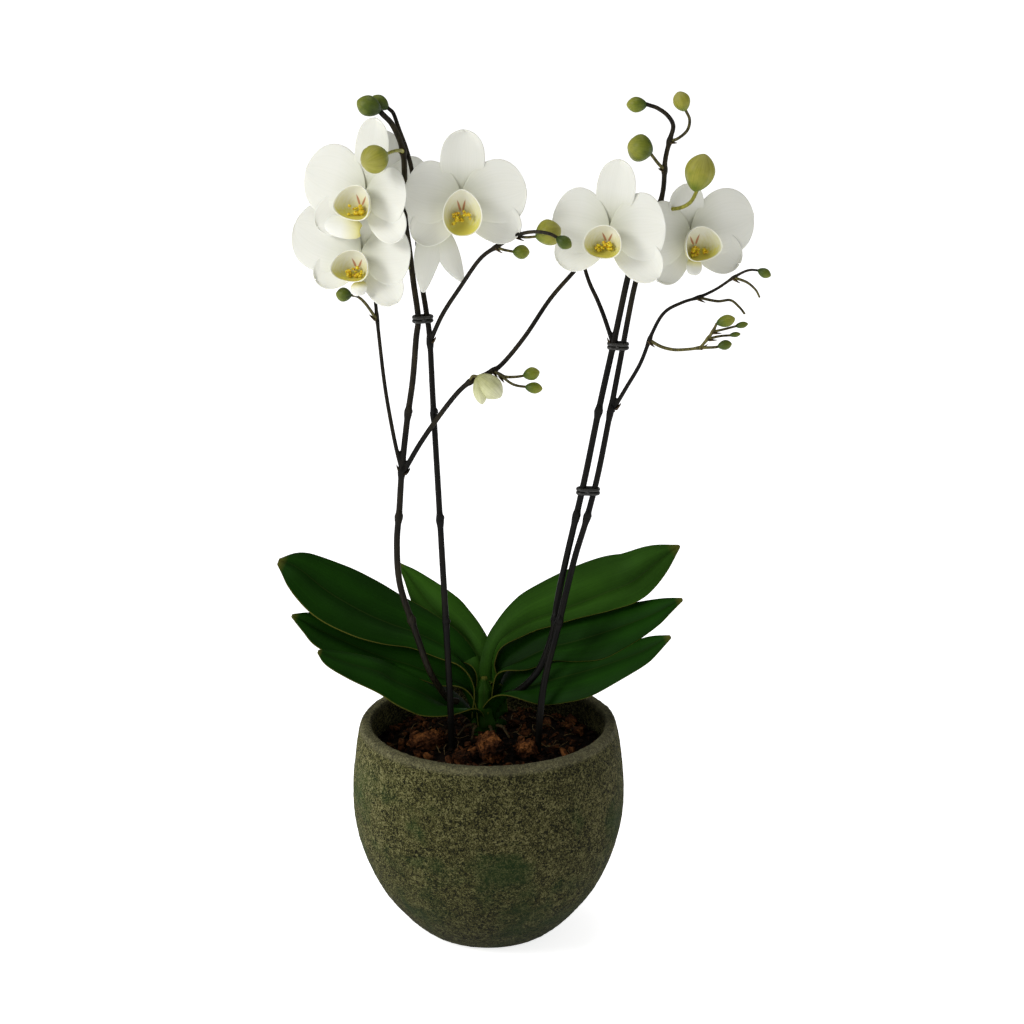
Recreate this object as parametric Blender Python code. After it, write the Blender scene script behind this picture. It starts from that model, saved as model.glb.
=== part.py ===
"""Potted moth orchid: a round rough-cast planter, bark, leaves, four flower spikes, blooms and buds.

Metres, +Z up. The origin is the middle of the planter's flat foot. -Y is the front, +X the right.
Lengths below are millimetres until mm() turns them into metres.
"""
import math

import bmesh
import bpy
from mathutils import Euler, Matrix, Vector

MM = 0.001
GAP = 0.35                    # clearance between neighbouring pieces

# Planter: radius and height of its outside, from the edge of the flat foot to the rim
POT_OUTSIDE = [(40.0, 0), (46.2, 3), (55.3, 10), (66.8, 22), (79.9, 40), (89.8, 62), (95.8, 85),
               (97.5, 108), (95.6, 135), (91.5, 160)]
POT_WALL = 8.6
POT_FLOOR = 12.0
POT_SIDES = 32
RIM_ROUND = 3.4

# Potting bark
BARK_EDGE_HEIGHT = 138.0
BARK_CENTRE_HEIGHT = 147.0

# Plant
CROWN_CENTRE = (-3.0, 14.0)
CROWN_TOP = 184.0
LEAF_THICKNESS = 1.8
TEPAL_THICKNESS = 1.1
STEM_SIDES = 6
BUD_SIDES = 8


def mm(*values):
    """A point given in millimetres, as a vector in metres."""
    return Vector(values) * MM


def material(name, colour, roughness):
    """A plain surface of one colour; the alpha of the colour is 1."""
    made = bpy.data.materials.get(name) or bpy.data.materials.new(name)
    made.use_nodes = True
    shader = made.node_tree.nodes["Principled BSDF"]
    shader.inputs["Base Color"].default_value = (*colour, 1.0)
    shader.inputs["Roughness"].default_value = roughness
    shader.inputs["Metallic"].default_value = 0.0
    return made


def loft(name, rings, surface, smooth=True):
    """A closed solid through rings of points, with a cap on its first and its last ring."""
    bm = bmesh.new()
    loops = [[bm.verts.new(point) for point in ring] for ring in rings]
    bm.faces.new(loops[0])
    bm.faces.new(loops[-1])
    for lower, upper in zip(loops, loops[1:]):
        for i in range(len(lower)):
            bm.faces.new((lower[i - 1], lower[i], upper[i], upper[i - 1]))
    bmesh.ops.recalc_face_normals(bm, faces=bm.faces)
    mesh = bpy.data.meshes.new(name)
    bm.to_mesh(mesh)
    bm.free()
    mesh.materials.append(surface)
    made = bpy.data.objects.new(name, mesh)
    bpy.context.scene.collection.objects.link(made)
    if smooth:
        mesh.shade_smooth()
        mesh.set_sharp_from_angle(angle=math.radians(50))
    return made


def hide(tool):
    """Keep a cutter or a joined branch out of the model itself."""
    tool.hide_render = True
    tool.display_type = "WIRE"


def combine(base, tool, operation):
    """Join or cut base with tool by an exact Boolean."""
    step = base.modifiers.new(operation.lower(), "BOOLEAN")
    step.operation = operation
    step.solver = "EXACT"
    step.object = tool
    hide(tool)


def smooth_path(points, steps):
    """Points along a smooth curve through the given points, steps to each stretch."""
    knots = [Vector(p) for p in points]
    path = []
    for i in range(len(knots) - 1):
        before = knots[i - 1] if i else knots[i] * 2 - knots[i + 1]
        after = knots[i + 2] if i + 2 < len(knots) else knots[i + 1] * 2 - knots[i]
        for step in range(steps):
            t = step / steps
            path.append(0.5 * (2 * knots[i] + (knots[i + 1] - before) * t
                               + (2 * before - 5 * knots[i] + 4 * knots[i + 1] - after) * t * t
                               + (3 * knots[i] - before - 3 * knots[i + 1] + after) * t ** 3))
    path.append(knots[-1])
    return path


def tube_rings(path, radii, sides):
    """Rings round a path, turned as little as possible from one to the next."""
    rings = []
    across = None
    for i, point in enumerate(path):
        along = (path[min(i + 1, len(path) - 1)] - path[max(i - 1, 0)]).normalized()
        if across is None:
            across = along.orthogonal()
        across = (across - along * across.dot(along)).normalized()
        other = along.cross(across)
        turns = [2 * math.pi * side / sides for side in range(sides)]
        rings.append([(point + (across * math.cos(a) + other * math.sin(a)) * radii[i]) * MM for a in turns])
    return rings


def stem(name, points, start_radius, end_radius, surface, steps=2):
    """A tapering round stem along a smooth path."""
    path = smooth_path(points, steps)
    last = len(path) - 1
    radii = [start_radius + (end_radius - start_radius) * i / last for i in range(last + 1)]
    return loft(name, tube_rings(path, radii, STEM_SIDES), surface)


def egg(name, base, tip, radius, surface, fat_end=0.55):
    """An egg-shaped solid from its base to its tip, widest at the part fat_end of its length."""
    start, end = Vector(base), Vector(tip)
    path, radii = [], []
    for part in (0.02, 0.14, 0.34, 0.58, 0.8, 0.95):
        path.append(start.lerp(end, part))
        share = part / fat_end if part < fat_end else (1 - part) / (1 - fat_end)
        radii.append(radius * max(0.25, math.sin(0.5 * math.pi * share) ** 0.75))
    return loft(name, tube_rings(path, radii, BUD_SIDES), surface)


# ---------------------------------------------------------------- planter and bark

def pot_outer_radius(height):
    """Radius of the outside at a height, read from the smooth profile."""
    profile = smooth_path([(radius, rise, 0) for radius, rise in POT_OUTSIDE], 4)
    for low, high in zip(profile, profile[1:]):
        if height <= high.y:
            return low.x + (high.x - low.x) * (height - low.y) / (high.y - low.y)
    return profile[-1].x


def circle(radius, height):
    """A ring of points round the planter's axis."""
    turns = [2 * math.pi * side / POT_SIDES for side in range(POT_SIDES)]
    return [mm(radius * math.cos(a), radius * math.sin(a), height) for a in turns]


def make_pot(surface):
    """The planter: one cast bowl with a flat foot and a rounded rim."""
    rim_radius, height = POT_OUTSIDE[-1]
    profile = [(radius, rise) for radius, rise in POT_OUTSIDE[:-1]]
    profile += [(pot_outer_radius(height - RIM_ROUND), height - RIM_ROUND),
                (rim_radius - 1.0, height - 1.2)]
    profile += [(rim_radius - RIM_ROUND, height), (rim_radius - POT_WALL + RIM_ROUND, height)]
    profile += [(rim_radius - POT_WALL + 0.6, height - 1.4), (pot_outer_radius(154) - POT_WALL, 154)]
    profile += [(pot_outer_radius(rise) - POT_WALL, rise) for rise in (112, 74, 40, 22)]
    profile += [(pot_outer_radius(POT_FLOOR) - POT_WALL - 8.0, POT_FLOOR)]
    return loft("pot", [circle(radius, rise) for radius, rise in profile], surface)


def bark_height(x, y):
    """Height of the bark's top, a low mound, at a place inside the planter."""
    part = math.hypot(x, y) / (POT_OUTSIDE[-1][0] - POT_WALL)
    return BARK_CENTRE_HEIGHT - (BARK_CENTRE_HEIGHT - BARK_EDGE_HEIGHT) * part ** 2


def make_bark(surface):
    """The bark that fills the planter, and four large chips that lie on it."""
    profile = [(pot_outer_radius(h) - POT_WALL - GAP - 1.0, h) for h in (22, 40, 74, 112, 134)]
    profile += [(radius, bark_height(radius, 0)) for radius in (80, 50, 8)]
    loft("bark_bed", [circle(radius, rise) for radius, rise in profile], surface)
    chips = [((2, -33), (9, 12, 9), 20), ((27, -30), (8, 7, 7), -30),
             ((-18, -42), (7, 6, 5), 40), ((-44, -12), (13, 8, 6), 10)]
    for number, ((x, y), size, turn) in enumerate(chips, 1):
        rings = []
        lift = size[2] + bark_height(x, y) + GAP + 0.8
        for level, share in ((-1, 0.55), (-0.45, 1.0), (0.5, 0.9), (1, 0.45)):
            ring = []
            for side in range(7):
                angle = 2 * math.pi * side / 7 + math.radians(turn)
                reach = share * (1 + 0.16 * math.sin(3.1 * side + number))
                ring.append(mm(x + size[0] * reach * math.cos(angle),
                               y + size[1] * reach * math.sin(angle), lift + size[2] * level))
            rings.append(ring)
        loft(f"bark_chip_{number}", rings, surface, smooth=False)


# ---------------------------------------------------------------- crown, roots and leaves

def make_crown(surface, root_surface):
    """The short stem that the leaves grow from, and the pale aerial roots at its foot."""
    x, y = CROWN_CENTRE
    foot = bark_height(x, y) + GAP + 0.3
    rings = []
    outline = [(foot, 9, 8), (foot + 8, 11, 9), (168, 8.5, 7.5), (178, 7, 6), (CROWN_TOP, 3, 3)]
    for height, wide, deep in outline:
        turns = [2 * math.pi * side / 12 for side in range(12)]
        rings.append([mm(x + wide * math.cos(a), y + deep * math.sin(a), height) for a in turns])
    loft("crown", rings, surface)
    ends = [((-12, -12), (-10, 1)), ((6, -16), (2, 1)), ((16, -8), (8, 3))]
    arches = []
    for number, ((ex, ey), (sx, sy)) in enumerate(ends):
        over = ((sx + ex) / 2, (sy + ey) / 2)
        arches.append(stem(f"root_{number}", [(sx, sy, foot + 3.5), (*over, bark_height(*over) + 5.5),
                                              (ex, ey, bark_height(ex, ey) + 2.4)], 1.7, 1.4, root_surface))
    collar = stem("aerial_roots", [(-11, 0.6, foot + 3), (-2, -1.0, foot + 4), (9, 2.4, foot + 3)],
                  2.0, 2.0, root_surface)
    for arch in arches:
        combine(collar, arch, "UNION")


LEAF_SHAPE = [(0.0, 0.20), (0.1, 0.34), (0.24, 0.6), (0.4, 0.86), (0.58, 1.0), (0.74, 0.95),
              (0.87, 0.72), (0.96, 0.4), (1.0, 0.12)]

# name: midrib points, front half width, rear half width, slope of the front and of the rear half
LEAVES = {
    "leaf_left_1": ([(-14, 22, 186), (-42, 24, 224), (-78, 26, 243), (-113, 28, 260), (-147, 30, 271)],
                    24, 31, -14, 62),
    "leaf_left_2": ([(-15, 15, 178), (-42, 15, 196), (-77, 14, 211), (-109, 12, 224), (-139, 8, 236)],
                    21, 24, -16, 50),
    "leaf_left_3": ([(-15, 9, 166), (-42, -6, 171), (-70, -14, 186), (-98, -20, 206), (-121, -24, 222)],
                    18, 18, -24, 22),
    "leaf_top": ([(-4, 27, 194), (-15, 38, 212), (-30, 48, 232), (-46, 56, 250), (-61, 61, 264)],
                 15, 15, -38, 62),
    "leaf_right_1": ([(5, 24, 194), (22, 26, 226), (54, 26, 246), (94, 28, 261), (137, 32, 281)],
                     21, 28, -6, 54),
    "leaf_right_2": ([(8, 17, 181), (30, 10, 203), (65, 7, 219), (101, 3, 233), (138, 0, 251)],
                     20, 22, -26, 40),
    "leaf_right_3": ([(9, 9, 168), (30, -3, 181), (65, -12, 192), (100, -18, 211), (130, -22, 232)],
                     19, 17, -30, 34),
}


def leaf_station(path, part):
    """The point and the direction of a path at a part of its length."""
    last = len(path) - 1
    i = min(int(part * last), last - 1)
    here = path[i].lerp(path[i + 1], part * last - i)
    return here, (path[min(i + 2, last)] - path[max(i - 1, 0)]).normalized()


def make_leaf(name, surface):
    """One strap leaf, folded along its midrib, as a thin closed solid."""
    points, front_width, rear_width, front_slope, rear_slope = LEAVES[name]
    path = smooth_path(points, 5)
    rings = []
    for part, share in LEAF_SHAPE:
        here, along = leaf_station(path, part)
        front = along.cross(Vector((0, 0, 1))).normalized()
        front = -front if front.y > 0 else front
        up = Vector((0, 0, 1)) - along * along.z
        up.normalize()
        spread = min(1.0, 0.35 + part * 1.6)
        edge = []
        for side, width, slope in ((1, front_width, front_slope), (-1, rear_width, rear_slope)):
            lean = math.radians(slope * spread + 24 * (1 - spread))
            edge.append(here + (front * side * math.cos(lean) + up * math.sin(lean)) * width * share)
        spine = [edge[0], edge[0].lerp(here, 0.5) - up * 0.6 * share, here,
                 here.lerp(edge[1], 0.5) - up * 0.6 * share, edge[1]]
        half = up * LEAF_THICKNESS / 2
        ring = [(p + half * t) * MM for p, t in zip(spine, (0.6, 1, 1, 1, 0.6))]
        ring += [(p - half * t) * MM for p, t in zip(spine[::-1], (0.6, 1, 1.6, 1, 0.6))]
        rings.append(ring)
    return loft(name, rings, surface)


# ---------------------------------------------------------------- flower spikes

SPIKE_LEFT_REAR = [(-22, 6, 172), (-29, 0, 177), (-37, -8, 192), (-43, -12, 206), (-52, -12, 234),
                   (-62, -9, 266), (-64, -8, 296), (-62, -8, 322), (-60, -8, 351), (-56, -6, 387),
                   (-52, -4, 415), (-49.5, -2, 444), (-48, 0, 459), (-51, 6, 481), (-54, 10, 505),
                   (-57, 12, 529), (-58, 12, 554), (-60, 11, 575), (-65, 6, 593), (-70, 2, 601)]
SPIKE_LEFT_FRONT = [(-26, -16, 147.5), (-27, -16, 180), (-29, -16, 226), (-32, -14, 286), (-35, -10, 344),
                    (-38, -6, 401), (-40, -2, 444), (-42.5, 3, 463), (-46, 10, 484), (-48, 15, 504),
                    (-50, 17, 528), (-51, 17, 553), (-54, 16, 573), (-59, 14, 590), (-62, 13, 600)]
SPIKE_RIGHT_INNER = [(13, 5, 178), (19, -2, 182), (29, -9, 193), (38, -11, 207), (46, -11, 232),
                     (49, -6, 253), (55, -6, 284), (63, -6, 321), (69, -6, 350), (78, -4, 397),
                     (87, 0, 439), (95, 4, 478), (98, 5, 492), (99, 6, 502)]
SPIKE_RIGHT_OUTER = [(35, -27, 147), (37, -27, 178), (41, -24, 205), (49, -17, 236), (56, -12, 266),
                     (62, -9, 290), (69, -8, 314), (77, -6, 347), (85, -4, 390), (92, -2, 429),
                     (101, 3, 478), (109, 10, 505), (116, 15, 525), (121, 18, 545), (122, 14, 567),
                     (125, 12, 582), (127, 10, 592), (123, 6, 600), (116, 2, 606), (109.5, -1, 609)]

# branches of each spike: points, start radius, end radius
BRANCHES = {
    "spike_left_rear": [
        ([(-60, -8, 350), (-65, -8, 373), (-71, -4, 408), (-75, 0, 443), (-78, 4, 474),
          (-80, 8, 488)], 1.4, 1.1),
        ([(-77, 1, 458), (-84, -4, 470), (-89, -8, 476), (-92.5, -10, 477.5)], 1.0, 0.8),
        ([(-59, -8, 349), (-47, -10, 371), (-33, -14, 393), (-20, -18, 411), (-10, -20, 420), (0, -14, 423),
          (10, -12, 429), (26, -8, 448), (43, 0, 472), (59, 8, 489)], 1.7, 1.4),
        ([(-12, -20, 419), (-6, -24, 420.5), (-4.4, -24, 420.2)], 1.0, 0.9),
        ([(4, -13, 425), (11, -18, 422), (19, -21, 422.5), (23.6, -22, 423.4)], 1.0, 0.8),
        ([(9, -17, 422.5), (15, -22, 419), (20, -24, 417.2), (25, -24, 416.4)], 0.9, 0.8),
        ([(-59.5, 11, 573), (-60, -4, 576), (-62.5, -18, 578), (-66.4, -29.2, 579.2)], 1.0, 0.9)],
    "spike_left_front": [
        ([(-40, -2, 442), (-31, -6, 463), (-19, -10, 483), (-5, -12, 502), (7, -12, 510), (16, -13, 515),
          (24, -20, 520), (33, -29, 524), (42, -34, 525), (48, -36, 524)], 1.5, 1.1),
        ([(6, -12, 509.5), (11, -13, 509.6), (16.4, -14, 509.6)], 0.9, 0.8),
        ([(20, -15, 517.2), (26.5, -17, 518.6), (32.4, -19, 520.4)], 0.9, 0.8)],
    "spike_right_inner": [
        ([(87, 0, 440), (81, 2, 458), (76, 6, 470), (71, 10, 480), (68, 14, 488),
          (66, 18, 495)], 1.5, 1.2)],
    "spike_right_outer": [
        ([(122, 15, 566), (118, 11, 571), (113.5, 7, 574.6)], 1.0, 0.9),
        ([(127, 10, 591), (132, 10, 594), (135.5, 8, 599), (134.8, 6, 602.5)], 1.0, 0.9),
        ([(121, 18, 541), (124, 5, 543), (131, -5, 546), (140.6, -8, 550)], 1.1, 0.9),
        ([(88, -4, 395), (96, -6, 410), (106, -8, 429), (114, -8, 451), (122, -8, 465), (134, -8, 472),
          (146, -8, 476), (158, -8, 482), (170, -10, 491), (179, -12, 496), (187, -15, 496.5)], 1.4, 0.8),
        ([(112, -8, 445), (120, -12, 441.5), (129, -16, 440.5), (139, -18, 441.5), (146, -20, 443),
          (156, -22, 444), (161, -22, 445)], 1.1, 0.8),
        ([(146, -20, 442.8), (151, -20, 449), (155, -20, 455), (156.4, -20, 459.4)], 0.9, 0.8),
        ([(155, -20, 454.6), (163, -20, 456.4), (171, -20, 458.6)], 0.8, 0.7),
        ([(152, -20, 449.6), (160, -20, 451.4), (168, -20, 452)], 0.8, 0.7),
        ([(145, -8, 475.6), (158, -10, 473.5), (167, -11, 474.5), (173, -12, 470),
          (177, -12, 465)], 0.9, 0.7),
        ([(169, -10, 490.4), (178, -12, 487.5), (184, -13, 482.5), (187, -13, 477)], 0.9, 0.6)],
}

# little buds that stay part of their spike: base, tip, radius
SMALL_BUDS = {
    "spike_left_front": [((-62, 13, 599), (-73, 15, 609), 4.8), ((47, -36, 524), (56, -38, 519), 4.2)],
    "spike_right_outer": [((185, -14.5, 497), (194, -18, 493.5), 3.4),
                          ((170, -20, 458.4), (179, -20, 460.2), 2.3),
                          ((166, -20, 452), (174, -20, 453), 1.9),
                          ((158, -22, 444.6), (168, -22, 446.6), 3.5)],
}


def make_spike(name, path, start_radius, end_radius, surface, bud_surface):
    """One flower spike with its branches and its smallest buds, as a single body."""
    spike = stem(name, path, start_radius, end_radius, surface)
    for number, (points, start, end) in enumerate(BRANCHES[name]):
        combine(spike, stem(f"{name}_branch_{number}", points, start, end, surface, steps=1), "UNION")
    for number, (base, tip, radius) in enumerate(SMALL_BUDS.get(name, [])):
        combine(spike, egg(f"{name}_bud_{number}", base, tip, radius, bud_surface), "UNION")
    return spike


# clip: its height and half its length, the two paths it holds, and the radius of the eye round each
CLIPS = {
    "clip_left": (458, 2.0, (SPIKE_LEFT_REAR, SPIKE_LEFT_FRONT), (2.3, 1.95)),
    "clip_right_lower": (335, 2.5, (SPIKE_RIGHT_INNER, SPIKE_RIGHT_OUTER), (2.3, 2.3)),
    "clip_right_upper": (439, 2.0, (SPIKE_RIGHT_INNER, SPIKE_RIGHT_OUTER), (2.6, 2.3)),
}
CLIP_RADIUS = 2.9
CLIP_BULGE = 0.9
CLIP_SIDES = 16


def path_point(path, height):
    """Where a rising path passes a height."""
    for low, high in zip(path, path[1:]):
        if low[2] <= height <= high[2]:
            return Vector(low).lerp(Vector(high), (height - low[2]) / (high[2] - low[2]))
    raise ValueError("the path does not reach that height")


def make_clip(name, surface):
    """A small plastic clip with two eyes that holds two spikes side by side."""
    height, half_height, paths, radii = CLIPS[name]
    eyes = [path_point(path, height) for path in paths]
    middle = (eyes[0] + eyes[1]) / 2
    along = (eyes[1] - eyes[0])
    along.z = 0
    reach = along.length / 2
    along.normalize()
    across = Vector((-along.y, along.x, 0))
    rings = []
    for level, grow in ((-1, 0), (-0.6, 1), (0.6, 1), (1, 0)):
        ring = []
        bulge = CLIP_RADIUS + CLIP_BULGE * grow
        for side in range(CLIP_SIDES):
            angle = 2 * math.pi * side / CLIP_SIDES
            point = middle + along * (math.cos(angle) * bulge + math.copysign(reach, math.cos(angle)))
            point += across * math.sin(angle) * bulge
            point.z = height + level * half_height
            ring.append(point * MM)
        rings.append(ring)
    clip = loft(name, rings, surface)
    for path, radius in zip(paths, radii):
        near = [Vector(p) for p in path if abs(p[2] - height) < 60]
        eye = smooth_path(near, 2)
        cutter = loft(f"{name}_eye", tube_rings(eye, [radius] * len(eye), 8), surface)
        combine(clip, cutter, "DIFFERENCE")
    return clip


# ---------------------------------------------------------------- blooms

# flower: hub, turn about the upright axis, tilt up, roll, size, upper sepal's length, its stalk to the spike
FLOWERS = {
    "flower_1": ((-85, -16, 552), -28, 12, 4, 1.0, 44, [(-81, -8, 553), (-70, 3, 554), (-61.6, 9.6, 555)]),
    "flower_2": ((-89, -14, 508), -22, 14, 0, 1.04, 37, [(-83, -6, 505), (-68, 2, 488), (-54, 3, 466)]),
    "flower_3": ((-18, -12, 548), 4, 10, -2, 1.02, 45, [(-22, -2, 550), (-36, 10, 549), (-47, 15.5, 545)]),
    "flower_4": ((-76, 38, 538), 205, 6, -6, 1.0, 44, [(-74, 30, 540), (-67, 20, 541), (-61, 14.2, 541)]),
    "flower_5": ((84, -10, 526), -16, 10, 2, 1.03, 45, [(86, -3, 524), (92, 2, 515), (97.6, 4.6, 506)]),
    "flower_6": ((144, 4, 521), 28, 8, -4, 0.98, 30, [(141, 11, 523), (133, 16, 526), (120.8, 16.8, 529)]),
}

SIDE_SEPAL_ANGLE = 127
SIDE_SEPAL_LENGTH = 39.0
SIDE_SEPAL_HALF_WIDTH = 13.0
UPPER_SEPAL_HALF_WIDTH = 15.5
SEPAL_SHAPE = [(0.03, 0.22), (0.25, 0.62), (0.5, 0.95), (0.75, 0.9), (0.93, 0.5), (1.0, 0.16)]
PETAL_SHAPE = [(0.1, 0.22), (0.24, 0.62), (0.45, 0.95), (0.68, 1.0), (0.88, 0.7), (1.0, 0.26)]
PETAL_LENGTH = 41.0
PETAL_HALF_WIDTH = 20.0
PETAL_RISE = 76               # degrees from straight up to a petal's middle line
CUP = 0.0022                  # how far the tepals' tips come forward, per square millimetre of reach
PETAL_LIFT = 2.0              # how far the petals lie in front of the sepals


def tepal(name, angle, length, half_width, shape, lift, size, surface):
    """A thin petal or sepal lying on the flower's shallow bowl, pointing at an angle from straight up."""
    turn = math.radians(angle)
    along = Vector((-math.sin(turn), 0, math.cos(turn)))
    across = Vector((math.cos(turn), 0, math.sin(turn)))
    rings = []
    for part, share in shape:
        front, back = [], []
        for side in (-1, 0, 1):
            flat = along * part * length + across * side * half_width * share
            depth = -lift - CUP * flat.length_squared
            front.append((flat + Vector((0, depth - TEPAL_THICKNESS / 2, 0))) * size * MM)
            back.append((flat + Vector((0, depth + TEPAL_THICKNESS / 2, 0))) * size * MM)
        rings.append(back + front[::-1])
    return loft(name, rings, surface)


def oval_cup(name, centre, wide, tall, depth, wall, size, surface):
    """A thin oval cup open to the front, for the lip that folds round the column."""
    rings = []
    outside = [(0.2, 0.0), (0.62, 0.16), (0.9, 0.5), (1.0, 1.0)]
    levels = [(share, level, 0) for share, level in outside]
    levels += [(share, level, wall) for share, level in outside[::-1]]
    for share, level, inset in levels:
        lift = inset * (0.0 if level == 1.0 else 1.0)
        ring = []
        for side in range(10):
            a = 2 * math.pi * side / 10
            reach_x = max(wide * share - inset, 0.8) * math.cos(a)
            reach_z = max(tall * share - inset, 0.8) * math.sin(a)
            ring.append(Vector((centre[0] + reach_x, centre[1] - level * depth - lift * 0.9,
                                centre[2] + reach_z)) * size * MM)
        rings.append(ring)
    return loft(name, rings, surface)


def make_flower(name, petal_surface, lip_surface, stalk_surface):
    """One bloom: three joined sepals on their stalk, two petals, and the lip with its column."""
    hub, yaw, pitch, roll, size, upper_length, stalk = FLOWERS[name]
    sepal_arms = [("upper", 0, upper_length, UPPER_SEPAL_HALF_WIDTH),
                  ("side_left", SIDE_SEPAL_ANGLE, SIDE_SEPAL_LENGTH, SIDE_SEPAL_HALF_WIDTH),
                  ("side_right", -SIDE_SEPAL_ANGLE, SIDE_SEPAL_LENGTH, SIDE_SEPAL_HALF_WIDTH)]
    facing = Euler((math.radians(-pitch), math.radians(roll), math.radians(yaw)), "XYZ").to_matrix().to_4x4()
    place = Matrix.Translation(mm(*hub)) @ facing
    sepals = egg(f"{name}_sepals", (0, 3.0, 0), (0, -2.6, 0), 3.0, petal_surface)
    arms = [tepal(f"{name}_{arm}", angle, length, width, SEPAL_SHAPE, 0.0, size, petal_surface)
            for arm, angle, length, width in sepal_arms]
    petals = [tepal(f"{name}_petal_{label}", angle, PETAL_LENGTH, PETAL_HALF_WIDTH, PETAL_SHAPE,
                    PETAL_LIFT, size, petal_surface)
              for label, angle in (("left", PETAL_RISE), ("right", -PETAL_RISE))]
    lip = oval_cup(f"{name}_lip", (0, -5.0, -5.5), 12.0, 16.0, 11.0, 1.0, size, lip_surface)
    column = egg(f"{name}_column", (0, -4.6, -1.0), (0, -13.5, 2.4), 2.4, petal_surface)
    for made in [sepals, lip, column] + arms + petals:
        made.matrix_world = place
    for arm in arms:
        combine(sepals, arm, "UNION")
    combine(lip, column, "UNION")
    path = [tuple(hub[i] + facing.col[1][i] * 1.0 for i in range(3))] + stalk
    combine(sepals, stem(f"{name}_stalk", path, 1.5, 1.1, stalk_surface, steps=1), "UNION")


def make_drooping_flower(petal_surface, stalk_surface):
    """A bloom that is only half open and hangs down: two long sepals on a stalk."""
    head = egg("drooping_flower", (-35, 4, 527), (-36, 3, 516), 4.0, petal_surface)
    for number, (points, widths) in enumerate((
            ([(-36, 4, 522), (-42, 2, 506), (-47, 0, 490), (-46, -1, 479)], (4, 9, 9.5, 2.5)),
            ([(-34, 4, 522), (-29, 3, 508), (-24, 2, 494), (-17, 2, 485)], (4, 7.5, 7, 1.5)))):
        rings = []
        path = [Vector(p) for p in points]
        for i, (point, width) in enumerate(zip(path, widths)):
            along = (path[min(i + 1, 3)] - path[max(i - 1, 0)]).normalized()
            across = along.cross(Vector((0, 1, 0))).normalized() * width
            thick = Vector((0, TEPAL_THICKNESS / 2, 0))
            rings.append([(point + across + thick) * MM, (point - across + thick) * MM,
                          (point - across - thick) * MM, (point + across - thick) * MM])
        combine(head, loft(f"drooping_sepal_{number}", rings, petal_surface), "UNION")
    combine(head, stem("drooping_stalk", [(-35, 4, 525), (-38, 9, 528), (-43.5, 13.5, 526),
                                          (-46.6, 15.2, 522)],
                       1.2, 1.1, stalk_surface), "UNION")


def make_opening_bud(surface):
    """A large pale bud with its first sepal folded down."""
    bud = egg("opening_bud", (-4, -25, 420.2), (9, -26, 412), 7.5, surface)
    combine(bud, egg("opening_sepal", (-4, -25, 417), (-7, -26, 405.5), 3.6, surface), "UNION")


# bud: base, tip, radius
BUDS = [((-70.7, 1.2, 602.2), (-86, -2, 608.6), 6.6), ((-67.0, -30.0, 579.4), (-84, -44, 585), 9.6),
        ((-93.2, -10.4, 477.8), (-104, -13, 479.5), 5.0), ((17.2, -14.1, 509.6), (29, -14.5, 509.4), 5.0),
        ((33.0, -19.2, 520.8), (50, -20, 528), 9.2), ((24.3, -22.2, 423.6), (36, -22, 426.4), 4.6),
        ((25.7, -24.0, 416.2), (38, -24, 414.8), 4.0), ((108.8, -1.2, 609.2), (94.5, -2, 609.4), 5.4),
        ((113.0, 6.6, 575.0), (96, 2, 580.5), 9.6), ((134.6, 5.6, 603.2), (130, 3, 617.2), 6.0),
        ((141.2, -8.3, 550.6), (148, -10, 577), 10.4), ((157.0, -20.2, 460.4), (170, -21, 464.2), 4.2)]


def clear_scene():
    """Start from an empty scene."""
    for left in list(bpy.data.objects):
        bpy.data.objects.remove(left, do_unlink=True)


def main():
    """Make every piece."""
    clear_scene()
    cast = material("rough_cast_stone", (0.115, 0.118, 0.062), 0.92)
    bark = material("pine_bark", (0.12, 0.05, 0.022), 0.9)
    root = material("aerial_root", (0.42, 0.36, 0.22), 0.7)
    leaf = material("leaf_blade", (0.018, 0.06, 0.012), 0.42)
    cane = material("flower_spike", (0.035, 0.034, 0.022), 0.5)
    plastic = material("clip_plastic", (0.01, 0.01, 0.01), 0.45)
    petal = material("petal_white", (0.82, 0.82, 0.76), 0.55)
    lip = material("lip_yellow", (0.74, 0.66, 0.25), 0.5)
    bud = material("bud_green", (0.24, 0.29, 0.05), 0.5)
    pale = material("bud_cream", (0.6, 0.6, 0.36), 0.5)

    make_pot(cast)
    make_bark(bark)
    make_crown(leaf, root)
    for name in LEAVES:
        make_leaf(name, leaf)
    make_spike("spike_left_rear", SPIKE_LEFT_REAR, 2.2, 1.3, cane, bud)
    make_spike("spike_left_front", SPIKE_LEFT_FRONT, 1.8, 1.2, cane, bud)
    make_spike("spike_right_inner", SPIKE_RIGHT_INNER, 2.0, 1.5, cane, bud)
    make_spike("spike_right_outer", SPIKE_RIGHT_OUTER, 2.0, 1.2, cane, bud)
    for name in CLIPS:
        make_clip(name, plastic)
    for name in FLOWERS:
        make_flower(name, petal, lip, bud)
    make_drooping_flower(petal, bud)
    make_opening_bud(pale)
    for number, (base, tip, radius) in enumerate(BUDS, 1):
        egg(f"bud_{number:02d}", base, tip, radius, bud)


main()
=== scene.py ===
"""Potted moth orchid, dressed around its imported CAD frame.

Every length in a table is in millimetres until mm() turns it into metres. +Z is up, -Y the front.
"""

import math
import random

import bpy
from bpy.props import FloatProperty, FloatVectorProperty, IntProperty, PointerProperty
from mathutils import Euler, Matrix, Vector


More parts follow.
